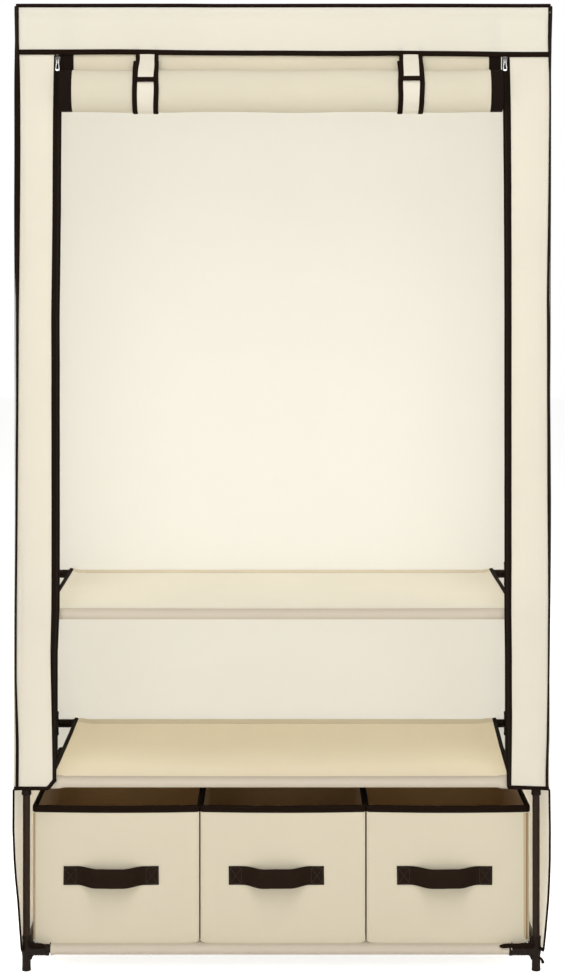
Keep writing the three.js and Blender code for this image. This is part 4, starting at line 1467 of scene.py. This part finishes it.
class StrapsStep(bpy.types.Operator):
    """Tie straps that hold the rolled door up"""
    bl_idname = "wardrobe.straps"
    bl_label = "Tie straps"

    def execute(self, context):
        for hand, centre in STRAP_MIDDLES.items():
            skin, trim = Skin(), Skin()
            lower, upper = self.paths(hand)
            self.strap(skin, trim, centre - 0.9 * MM, lower, "lower", hand)
            self.strap(skin, trim, centre, upper, "upper", hand)
            made = piece(f"strap_{hand}", skin, ["strap"], "root", [f"tie_strap_{hand}"])
            edges = piece(f"strap_binding_{hand}", trim, ["binding"], "root")
            for part in (made, edges):
                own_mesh(part)
        return {"FINISHED"}

    @staticmethod
    def paths(hand):
        """The lower strap round the roll, and the upper one that is closed over its end."""
        hang = np.array([0, FRONT_Y - 0.5 * MM, low("cover_top", 2)])

        def round_roll(gap, start, end):
            angles = np.linspace(math.radians(start), math.radians(end), 60)
            return join(0, ROLL_Y + (ROLL_HALF_DEPTH + gap) * np.cos(angles),
                        ROLL_Z + (ROLL_HALF_HEIGHT + gap) * np.sin(angles))
        lap = round_roll(1.5 * MM, *LOWER_STRAP_TURN)
        leave = hang + (lap[0] - hang) * 0.42
        rear = np.array([[0, lap[-1][1], ROLL_Z + 20 * MM],
                         [0, lap[-1][1] + 0.3 * MM, low("cover_top", 2) + 6 * MM]])
        lower = np.vstack([np.linspace(leave, lap[0], 14)[:-1], lap, rear])
        over = round_roll(3.4 * MM, *UPPER_STRAP_TURNS[hand])
        root = hang + np.array([0, 0, 13 * MM])
        upper = np.vstack([np.linspace(root, hang, 8)[:-1], np.linspace(hang, over[0], 20)[:-1], over])
        return soften(resample(lower, 2.2 * MM)), soften(resample(upper, 2.2 * MM))

    @staticmethod
    def strap(skin, trim, centre, path, which, hand):
        """One strap: cloth, binding down both edges, and on the upper one a bar across its end."""
        half = STRAP_HALF_WIDTHS[which]
        bar = which == "upper"
        sideways = np.array([1.0, 0, 0])
        run = travel(path)
        seed = 81 + SIDES[hand] + (4 if bar else 0)
        sway = 0.9 * MM * wander(run, seed, 3, 0.16)
        spread = half + 0.7 * MM * wander(run, seed + 9, 3, 0.12)
        share = np.linspace(-1, 1, 13)
        along = unit(np.gradient(path, axis=0))
        out = np.cross(along, sideways)
        place = centre + sway[:, None] + spread[:, None] * share
        grid = path[:, None] + sideways * place[..., None]
        bulge = -np.sign(out[len(out) // 2][1]) * 0.35 * MM * (1 - share ** 2)
        grid = grid + out[:, None] * bulge[None, :, None]
        skin.cloth(grid, join(share * half, -run[:, None]), thickness=1.1 * MM)
        for side in (-1, 1):
            edge = path + sideways * (centre + sway + side * (spread - 3.0 * MM))[:, None]
            trim.sweep(edge, sideways, (7.4 if bar else 8.4) * MM, 2.3 * MM, power=3.2, sides=12)
        if bar:
            end = grid[-1] + (path[-1] - path[-2]) * 0.2
            trim.sweep(end[::2], along[-1], 8.4 * MM, 2.9 * MM, power=3.2, sides=12,
                       rounded=1.2 * MM)


class ZipsStep(bpy.types.Operator):
    """Zip tapes with their coils, sliders and pulls"""
    bl_idname = "wardrobe.zips"
    bl_label = "Zips"

    def execute(self, context):
        for hand, side in SIDES.items():
            self.tape(hand, side)
            self.slider(hand)
            self.pull(hand)
        return {"FINISHED"}

    @staticmethod
    def tape(hand, side):
        """The tape along a front strip, with the coil near its inner edge."""
        end = STRIP_BOTTOM + (15 if hand == "left" else 3) * MM
        cover_low = low("cover_top", 2)
        z = np.linspace(cover_low + 12 * MM, end, 420)
        x = zip_x(hand, z)
        tucked = 2.4 * MM * ease(z, cover_low - 5 * MM, cover_low + 3 * MM)
        y = strip_y(hand, x, z) - 0.9 * MM + tucked
        path = join(x + lean(z) * 0.3, y, z)
        skin = Skin()
        width = np.interp(z, ZIP_HEIGHTS, TAPE_WIDTHS[hand])
        skin.sweep(path, (1, 0, 0), width, 1.5 * MM, power=3.6, sides=14, rounded=1 * MM)
        for edge in (-1, 1):
            rib = path + np.array([0, -0.65 * MM, 0])
            rib[:, 0] += edge * (width / 2 - 1.6 * MM)
            skin.sweep(rib, (1, 0, 0), 1.5 * MM, 0.9 * MM, sides=8)
        run = travel(path)
        bare_end = 3 * MM
        tooth_pitch = 1.3 * MM
        spots = np.arange(bare_end, run[-1] - bare_end, tooth_pitch)
        at = read_off(path, run, spots)
        at[:, 0] -= side * np.interp(spots, run, np.maximum(width / 2 - 4.6 * MM, 0))
        at[:, 1] -= 1.1 * MM
        slant = np.where(np.arange(len(at)) % 2 == 0, 0.2, -0.2)
        along = unit(join(1.0, 0.0, slant))
        out = np.broadcast_to(np.array([0, -1.0, 0]), along.shape)
        skin.scatter(spindle(4.4 * MM, 0.95 * MM, 1.3 * MM), at, along, np.cross(out, along), out, 1)
        piece(f"zip_{hand}", skin, ["tape", "coil"], "root")

    @staticmethod
    def slider(hand):
        """The slider's body with the arch that carries the pull."""
        node = f"zip_slider_{hand}"
        start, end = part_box(node)
        x, rear = (start.x + end.x) / 2, end.y
        z = np.linspace(start.z, end.z, 15)
        share = (z - start.z) / (end.z - start.z)
        width = (end.x - start.x) * (0.7 + 0.3 * ease(share, 0.0, 0.8))
        skin = Skin()
        path = join(x, rear - 2.2 * MM, z)
        skin.sweep(path, (1, 0, 0), width, 4.4 * MM, power=4.5, sides=24, rounded=1.2 * MM)
        plate = path - np.array([0, 2.0 * MM, 0])
        skin.sweep(plate[1:-1], (1, 0, 0), width[1:-1] * 0.72, 1.0 * MM, power=3, sides=20,
                   rounded=1 * MM)
        turn = np.linspace(0, math.pi, 13)
        hinge = (start.z + end.z) / 2
        arch = join(x, rear - 4.0 * MM - 4.2 * MM * np.sin(turn), hinge + 3.4 * MM * np.cos(turn))
        skin.sweep(arch, (1, 0, 0), 2.0 * MM, 1.0 * MM, power=3, sides=12)
        piece(f"slider_{hand}", skin, ["slider"], f"{hand}_slider", [node])

    @staticmethod
    def pull(hand):
        """The pull: a narrow eye at the top and two legs that part towards the bottom."""
        node = f"zip_pull_{hand}"
        start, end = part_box(node)
        centre = (start + end) / 2
        half_low, half_high = 2.9 * MM, 1.5 * MM
        outline = [(0, end.z - 0.7 * MM), (half_high, end.z - 1.5 * MM), (half_high, end.z - 5 * MM),
                   (half_low, start.z + 2.4 * MM), (half_low - 0.6 * MM, start.z + 1.0 * MM),
                   (0, start.z + 0.7 * MM)]
        outline += [(-a, b) for a, b in outline[-2:0:-1]]
        path = np.array([(centre.x + a, centre.y, b) for a, b in outline])
        path = resample(np.vstack([path, path[:1]]), 0.7 * MM)[:-1]
        for _ in range(3):
            path = path * 0.5 + (np.roll(path, 1, 0) + np.roll(path, -1, 0)) * 0.25
        skin = Skin()
        skin.sweep(path, (0, 1, 0), 1.1 * MM, 1.35 * MM, power=2.6, sides=12, closed=True)
        bar = join(centre.x + np.array([-half_high, 0, half_high]), centre.y, end.z - 5.6 * MM)
        skin.sweep(bar, (0, 1, 0), 1.0 * MM, 1.2 * MM, sides=12)
        foot = join(centre.x + np.array([-half_low, 0, half_low]), centre.y, start.z + 1.9 * MM)
        skin.sweep(foot, (0, 1, 0), 1.0 * MM, 2.6 * MM, power=3, sides=12)
        piece(f"pull_{hand}", skin, ["pull"], f"{hand}_pull", [node])


# How far each shelf's cloth reaches from the middle, at its rear and at its front
SHELF_ENDS = {
    "upper": {"left": (388 * MM, 388 * MM), "right": (388 * MM, 388 * MM)},
    "lower": {"left": (379 * MM, 379 * MM), "right": (394 * MM, 377 * MM)},
    "bottom": {"left": (379.7 * MM, 379.7 * MM), "right": (379.7 * MM, 379.7 * MM)},
}
# Width, thickness and lift of the binding down a shelf's sides
SHELF_BINDING = (7.6 * MM, 3.0 * MM, 0.4 * MM)
BOTTOM_SHELF_BINDING = (4.4 * MM, 2.0 * MM, -0.9 * MM)
SHELF_SEEDS = {"upper": 91, "lower": 95, "bottom": 99}


class ShelvesStep(bpy.types.Operator):
    """Shelf cloths with a sleeve round the front tube and one round the rear tube"""
    bl_idname = "wardrobe.shelves"
    bl_label = "Shelves"

    def execute(self, context):
        for level in SHELF_ENDS:
            self.shelf(level)
        return {"FINISHED"}

    @staticmethod
    def section(z, radius, sag, hang):
        """The cloth's way in depth and height: tail, front sleeve, top, rear sleeve, tail."""
        front, rear = POST_Y["front"], POST_Y["rear"]
        turn = np.linspace(1.5 * math.pi, 0.5 * math.pi, 13)
        nose = [(front + radius * math.cos(a), z + radius * math.sin(a) - hang * max(0, -math.sin(a)))
                for a in turn]
        back = [(rear - radius * math.cos(a), z + radius * math.sin(a)) for a in turn[::-1]]
        tail = 24 * MM
        under = [(front + tail, z + radius - sag - 1.8 * MM), (front + tail * 0.6, z + radius * 0.4)]
        flat = [(front + (rear - front) * share, z + radius - sag * math.sin(math.pi * share) ** 0.7)
                for share in np.linspace(0.02, 0.98, 60)]
        over = [(rear - tail * 0.6, z + radius * 0.4), (rear - tail, z + radius - sag - 1.8 * MM)]
        return np.array(under + nose + flat + back + over)

    def shelf(self, level):
        """Builds one shelf, its bound side edges and its seams."""
        z = LEVELS[level]
        half = max(max(ends) for ends in SHELF_ENDS[level].values())
        front, rear = POST_Y["front"], POST_Y["rear"]
        share = np.linspace(-1, 1, 110)
        centre = len(share) // 2
        bottom = level == "bottom"
        sag, hang = (1.0 * MM, 1.2 * MM) if bottom else (3.0 * MM, 2.2 * MM)
        rows = []
        for place in share:
            flare = ease(abs(place) * half, 375 * MM, 381 * MM)
            radius = TUBE + 0.9 * MM + 1.9 * MM * float(flare)
            rows.append(self.section(z, radius, sag, hang))
        rows = np.array(rows).transpose(1, 0, 2)
        deep = np.clip((rows[..., 0] - front) / (rear - front), 0, 1)
        reach = {hand: ends[1] + (ends[0] - ends[1]) * deep
                 for hand, ends in SHELF_ENDS[level].items()}
        x = share * np.where(share < 0, reach["left"], reach["right"])
        folds = 0.8 * MM * billow(x, rows[..., 0], SHELF_SEEDS[level], 0.22) * np.sin(math.pi * deep)
        tube_sag = (0 if bottom else 0.8 * MM) * (1 - share ** 2) * ease(deep, 1.0, 0.8)
        height = rows[..., 1] + folds - tube_sag * (rows[..., 1] > z)
        grid = join(x, rows[..., 0], height)
        run = travel(grid[:, centre])
        coords = join(x, run[:, None])
        tops = np.flatnonzero(rows[:, centre, 1] >= z + 4 * MM)
        seam_front, seam_rear = (tops[np.argmin(np.abs(rows[tops, centre, 0] - place))]
                                 for place in (front + 12 * MM, rear - 31 * MM))
        skin = Skin()
        for kind, first, last in ((1, 0, seam_front), (0, seam_front, seam_rear),
                                  (2, seam_rear, len(grid) - 1)):
            skin.cloth(grid[first:last + 1], coords[first:last + 1], kind)
        # Painted light and shade: the lower shelf takes the lighter, warmer lower shelf finish.
        sheet = "lower_shelf" if level == "lower" else "shelf"
        # Painted shade: the front sleeve takes the darker sleeve finish.
        # Painted shade: the rear sleeve takes the darker, yellower rear sleeve finish.
        made = piece(f"shelf_{level}", skin, [sheet, "sleeve", "rear_sleeve"], "root",
                     [f"{level}_shelf"])
        2 * half
        trim = Skin()
        width, depth, lift = BOTTOM_SHELF_BINDING if bottom else SHELF_BINDING
        for side, tilt in ((0, -0.2), (-1, 0.2)):
            edge = grid[14:-14, side] + np.array([0, 0, lift])
            trim.sweep(edge, (1, 0, tilt), width, depth, power=3.2, sides=12, rounded=depth / 2)
        seams = Skin()
        for kind, row in enumerate((seam_front, seam_rear)):
            line = grid[row, 4:-4] + np.array([0, 0, CLOTH / 2])
            stitch(seams, line, (0, 0, 1), kind, thread=(0.55 + 0.35 * kind) * MM)
        piece(f"shelf_seams_{level}", seams, ["pale_thread", "brown_thread"], "root")
        piece(f"shelf_binding_{level}", trim, ["binding"], "root")


def rounded_outline(half_x, half_y, radius, steps=5, side_steps=26):
    """Points round a rounded rectangle, with points along its sides too."""
    points = []
    for start, sx, sy in ((0, 1, 1), (90, -1, 1), (180, -1, -1), (270, 1, -1)):
        centre = np.array([sx * (half_x - radius), sy * (half_y - radius)])
        angles = np.radians(np.linspace(start, start + 90, steps))
        arc = centre + radius * join(np.cos(angles), np.sin(angles))
        if points:
            run = np.linspace(points[-1][-1], arc[0], side_steps)[1:-1]
            points.append(run)
        points.append(arc)
    points.append(np.linspace(points[-1][-1], points[0][0], side_steps)[1:-1])
    return np.vstack(points)


BIN_SHIFTS = {"left": (0, 2.0 * MM), "middle": (2.4 * MM, 2.9 * MM), "right": (3.4 * MM, 0)}
BIN_WALL = 2.5 * MM
BIN_BOARD_GAP = 2 * MM
# The lower edge of a bin's front stands forward and hangs over the shelf's sleeve.
TOE_FORWARD = 3.4 * MM
TOE_DROP = 5.4 * MM
# Painted shade on the outer bins' fronts: inset, width and depth in millimetres of two strips, a tan one
# and a brown one, that stand in for the shade at the outer front corners
BIN_EDGE_SHADE_STRIPS = {"left": ((2.2, 4.0, 1.2), (1.4, 1.8, 1.8)), "right": ((5.6, 8.6, 1.2), (4.4, 3.2, 1.8))}


class BinShape:
    """One bin's measures and the rings of its walls."""

    def __init__(self, name, seed):
        start, end = (np.asarray(corner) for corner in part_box(f"bin_{name}"))
        start[0] += BIN_SHIFTS[name][0]
        end[0] += BIN_SHIFTS[name][1]
        self.name = name
        self.seed = seed
        self.front = start[1]
        self.centre = (start + end) / 2
        self.half = (end - start) / 2
        self.base = start[2]
        self.top = end[2] - 4.4 * MM
        self.outer = self.outline(0, 5 * MM)
        self.inner = self.outline(BIN_WALL, 3 * MM)
        self.around = travel(np.vstack([self.outer, self.outer[:1]]))
        at_front = self.outer[:, 1] < -self.half[1] * 0.9
        self.toe = at_front * np.clip(1 - (self.outer[:, 0] / self.half[0]) ** 8, 0, 1)

    def outline(self, inset, radius):
        """The bin's plan, drawn in by an inset."""
        return rounded_outline(self.half[0] - inset, self.half[1] - inset, radius)

    def wall(self, outline, z):
        """One ring of the wall, bowed a little between its corners and drooping at its rim."""
        x, y = outline.T
        free_x, free_y = np.clip(1 - (outline / self.half[:2]) ** 2, 0, 1).T
        tall = (z - self.base) / (self.top - self.base)
        belly = math.sin(math.pi * min(max(tall, 0), 1)) ** 0.7
        soft = billow(x * 1.4, z * 1.3 + y, self.seed, 0.22, 6)
        out_y = np.sign(y) * free_x ** 0.7 * belly * (0.5 * MM + 0.8 * MM * soft)
        out_y = np.where(np.abs(y) > self.half[1] * 0.9, out_y, 0)
        out_x = -np.sign(x) * free_y * belly * (0.9 * MM + 0.5 * MM * soft)
        out_x = np.where(np.abs(x) > self.half[0] * 0.9, out_x, 0)
        droop = 1.5 * MM * free_x * (np.abs(y) > self.half[1] * 0.8)
        droop = droop + 2.0 * MM * free_y * (np.abs(x) > self.half[0] * 0.8)
        return join(self.centre[0] + x + out_x, self.centre[1] + y + out_y,
                    z - droop * ease(tall, 0.55, 1.0))

    def floor(self, outline, shares, z):
        """Level rings that close the shape at one height."""
        rings = [self.wall(outline * share, z) for share in shares]
        for ring in rings:
            ring[:, 2] = z
        return rings


class BinsStep(bpy.types.Operator):
    """Storage bins: cloth boxes with bound rims and base boards"""
    bl_idname = "wardrobe.bins"
    bl_label = "Bins"

    def execute(self, context):
        for number, name in enumerate(BIN_SHIFTS):
            shape = BinShape(name, 111 + number)
            self.shell(shape)
            self.rim(shape)
            self.seams(shape)
            self.board(shape)
        return {"FINISHED"}

    @staticmethod
    def shell(shape):
        """The walls and floor, cloth outside and lining inside; the lining's tan colour is painted shade.
        """
        base, top = shape.base, shape.top
        heights = np.concatenate([base + np.array([0, 0.8, 2.2, 5, 10]) * MM,
                                  np.linspace(base + 18 * MM, top - 10 * MM, 22),
                                  top - np.array([6, 3, 0.6]) * MM])
        insets = np.zeros(len(heights))
        insets[:2] = 0.8 * MM, 0.25 * MM
        outside = [shape.wall(shape.outline(inset, 5 * MM), z) for inset, z in zip(insets, heights)]
        for ring, share in zip(outside, (1.0, 0.97, 0.86, 0.6, 0.25)):
            ring[:, 1] -= TOE_FORWARD * shape.toe * share
            ring[:, 2] -= TOE_DROP * shape.toe * share
        tuck = outside[0] + np.outer(shape.toe, (0, 1.4 * MM, 0.3 * MM))
        seat = outside[0] + np.outer(shape.toe, (0, 3.6 * MM, TOE_DROP))
        under = shape.floor(shape.outer, (0.03, 0.4, 0.8, 0.97), base)
        floor_z = base + 5 * MM
        inside = [shape.wall(shape.inner, z) for z in heights[::-1] if z > base + 4 * MM]
        floor = shape.floor(shape.inner, (0.8, 0.4, 0.03), floor_z)
        up = np.concatenate([np.array([-30, -24, -18, -12, -9, -4]) * MM, heights - base])
        down = np.concatenate([heights[::-1][:len(inside)], [floor_z] * len(floor)]) - base
        skin = Skin()
        skin.lattice(under + [seat, tuck] + outside, join(shape.around, up[:, None]))
        skin.lattice(inside + floor, join(shape.around, down[:, None]), 1)
        piece(f"bin_shell_{shape.name}", skin, ["bin", "lining"], f"{shape.name}_bin",
              [f"bin_{shape.name}"])

    @staticmethod
    def rim(shape):
        """The binding round the upper edge."""
        z = shape.top - 5 * MM
        loop = (shape.wall(shape.outer, z) + shape.wall(shape.inner, z)) / 2
        skin = Skin()
        skin.sweep(loop, (0, 0, 1), 11.4 * MM, 5.4 * MM, power=4, sides=18, closed=True)
        piece(f"bin_rim_{shape.name}", skin, ["binding"], f"{shape.name}_bin")

    @staticmethod
    def seams(shape):
        """The welts down the corners and round the foot, and two strips of painted shade down an outer
        bin's outer front edge.
        """
        base, top, centre, half = shape.base, shape.top, shape.centre, shape.half
        skin = Skin()
        z = np.linspace(base + 3 * MM, top - 10 * MM, 40)
        for across in ((-1, -1), (-1, 1), (1, -1), (1, 1)):
            x, y = centre[:2] + np.array(across) * (half[:2] - 1.3 * MM)
            skin.sweep(join(x, y, z), across + (0,), 2.2 * MM, 1.6 * MM, sides=10)
        foot = shape.wall(shape.outer, base + 2.2 * MM)
        foot[:, 1] -= TOE_FORWARD * shape.toe
        foot[:, 2] -= 5.2 * MM * shape.toe
        skin.sweep(foot, (0, 0, 1), 1.8 * MM, 1.6 * MM, sides=8, closed=True)
        finishes = ["bin"]
        # Painted shade: a tan strip in the fold finish and a brown one in the brown thread finish stand in
        # for the shade at the outer front corner.
        if shape.name in BIN_EDGE_SHADE_STRIPS:
            finishes += ["fold", "brown_thread"]
            z = np.linspace(base + 5 * MM, top - 12 * MM, 40)
            for kind, sizes in enumerate(BIN_EDGE_SHADE_STRIPS[shape.name], 1):
                inset, width, depth = np.array(sizes) * MM
                x = centre[0] + SIDES[shape.name] * (half[0] - inset)
                x = x + 0.3 * MM * wander(z, shape.seed + kind, 3, 0.5)
                skin.sweep(join(x, shape.front, z), (1, 0, 0), width, depth, sides=12, kind=kind,
                           rounded=depth / 2)
        piece(f"bin_seams_{shape.name}", skin, finishes, f"{shape.name}_bin")

    @staticmethod
    def board(shape):
        """The loose board on the floor; its table gives each ring's share of the plan and height."""
        plan = shape.outline(BIN_WALL + BIN_BOARD_GAP, 3 * MM)
        table = ((0.02, 5.4), (0.5, 5.4), (0.995, 5.4), (1.0, 6.0), (1.0, 8.0), (0.995, 8.6),
                 (0.5, 8.8), (0.02, 8.8))
        rings = [join(*(shape.centre[:2] + plan * share).T, shape.base + z * MM) for share, z in table]
        skin = Skin()
        skin.lattice(rings, join(shape.around, np.arange(len(rings))[:, None] * 0.05))
        # Painted shade: the board takes the lining's tan colour, which stands in for the shade inside the
        # bin.
        piece(f"bin_base_{shape.name}", skin, ["lining"], f"{shape.name}_bin")


HANDLE_SHIFTS = {"left": 0.8 * MM, "middle": 3.9 * MM, "right": 5.0 * MM}
HANDLE_WIDTH = 31 * MM
HANDLE_TAIL = 24 * MM


class HandlesStep(bpy.types.Operator):
    """Webbing handles sewn to the bins' fronts"""
    bl_idname = "wardrobe.handles"
    bl_label = "Handles"

    def execute(self, context):
        for number, name in enumerate(HANDLE_SHIFTS):
            start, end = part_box(f"bin_handle_{name}")
            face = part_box(f"bin_{name}")[0].y
            half = (end.x - start.x) / 2 + 1.2 * MM
            centre = (start.x + end.x) / 2 + HANDLE_SHIFTS[name]
            height = end.z - 13 * MM
            self.band(name, 121 + number, centre, half, height, face, face - start.y - 1.0 * MM)
            self.stitches(name, centre, half, height, face - 2.35 * MM)
        return {"FINISHED"}

    @staticmethod
    def band(name, seed, centre, half, height, face, reach):
        """The band, with sewn ends and a middle that stands off the bin and hangs a little."""
        x = np.linspace(-1, 1, 61) * half
        free = np.clip((half - HANDLE_TAIL - np.abs(x)) / (half - HANDLE_TAIL), 0, 1)
        lift = ease(free, 0, 0.62)
        gap = 1.3 * MM
        y = face - gap - lift * (reach - gap)
        z = height - 0.8 * MM * np.sin(math.pi * 0.5 * free) ** 1.2
        z = z + 0.3 * MM * wander(x, seed, 3, 0.1)
        skin = Skin()
        skin.sweep(join(centre + x, y, z), join(0, 0.28 * lift, 1), HANDLE_WIDTH, 1.9 * MM, power=5,
                   sides=26)
        piece(f"handle_{name}", skin, ["handle"], f"{name}_bin",
              [f"bin_handle_{name}"])

    @staticmethod
    def stitches(name, centre, half, height, front):
        """A box of stitches with a cross in it at each end."""
        rise = HANDLE_WIDTH / 2 - 2.6 * MM
        low_z, high_z = height - rise, height + rise
        skin = Skin()
        for side in (-1, 1):
            outer = centre + side * (half - 2.2 * MM)
            inner = centre + side * (half - HANDLE_TAIL + 3 * MM)
            lines = (((outer, low_z), (outer, high_z)), ((outer, high_z), (inner, high_z)),
                     ((inner, high_z), (inner, low_z)), ((inner, low_z), (outer, low_z)),
                     ((outer, low_z), (inner, high_z)), ((outer, high_z), (inner, low_z)))
            for (x0, z0), (x1, z1) in lines:
                line = np.linspace((x0, front, z0), (x1, front, z1), 12)
                stitch(skin, line, (0, -1, 0), 0, length=2.4 * MM, gap=1.0 * MM)
        piece(f"handle_stitches_{name}", skin, ["dark_thread"], f"{name}_bin")


STEPS = (StageStep, TubesStep, ConnectorsStep, RailStep, CoverStep, StripsStep, BindingStep,
         DoorStep, StrapsStep, ZipsStep, ShelvesStep, BinsStep, HandlesStep)
SETTINGS = {"wardrobe_cloth": ClothSettings, "wardrobe_trim": TrimSettings,
            "wardrobe_frame": FrameSettings, "wardrobe_stage": StageSettings}


class WardrobePanel(bpy.types.Panel):
    """Lists the steps and their settings in the 3D view's sidebar"""
    bl_idname = "VIEW3D_PT_wardrobe"
    bl_label = "Wardrobe"
    bl_space_type = "VIEW_3D"
    bl_region_type = "UI"
    bl_category = "Wardrobe"

    def draw(self, context):
        for name, group in SETTINGS.items():
            box = self.layout.box()
            box.label(text=group.__name__.replace("Settings", ""))
            for field in group.__annotations__:
                box.prop(getattr(context.scene, name), field)
        for step in STEPS:
            self.layout.operator(step.bl_idname)


def register():
    """Registers the settings, the steps and the panel."""
    for group in SETTINGS.values():
        bpy.utils.register_class(group)
    for name, group in SETTINGS.items():
        setattr(bpy.types.Scene, name, PointerProperty(type=group))
    for step in STEPS + (WardrobePanel,):
        bpy.utils.register_class(step)


def unregister():
    """Takes the panel, the steps and the settings away again."""
    for step in (WardrobePanel,) + STEPS[::-1]:
        bpy.utils.unregister_class(step)
    for name in SETTINGS:
        delattr(bpy.types.Scene, name)
    for group in reversed(SETTINGS.values()):
        bpy.utils.unregister_class(group)


def main():
    """Registers the steps and makes every piece in order."""
    register()
    for step in STEPS:
        family, name = step.bl_idname.split(".")
        getattr(getattr(bpy.ops, family), name)()


if __name__ == "__main__":
    main()
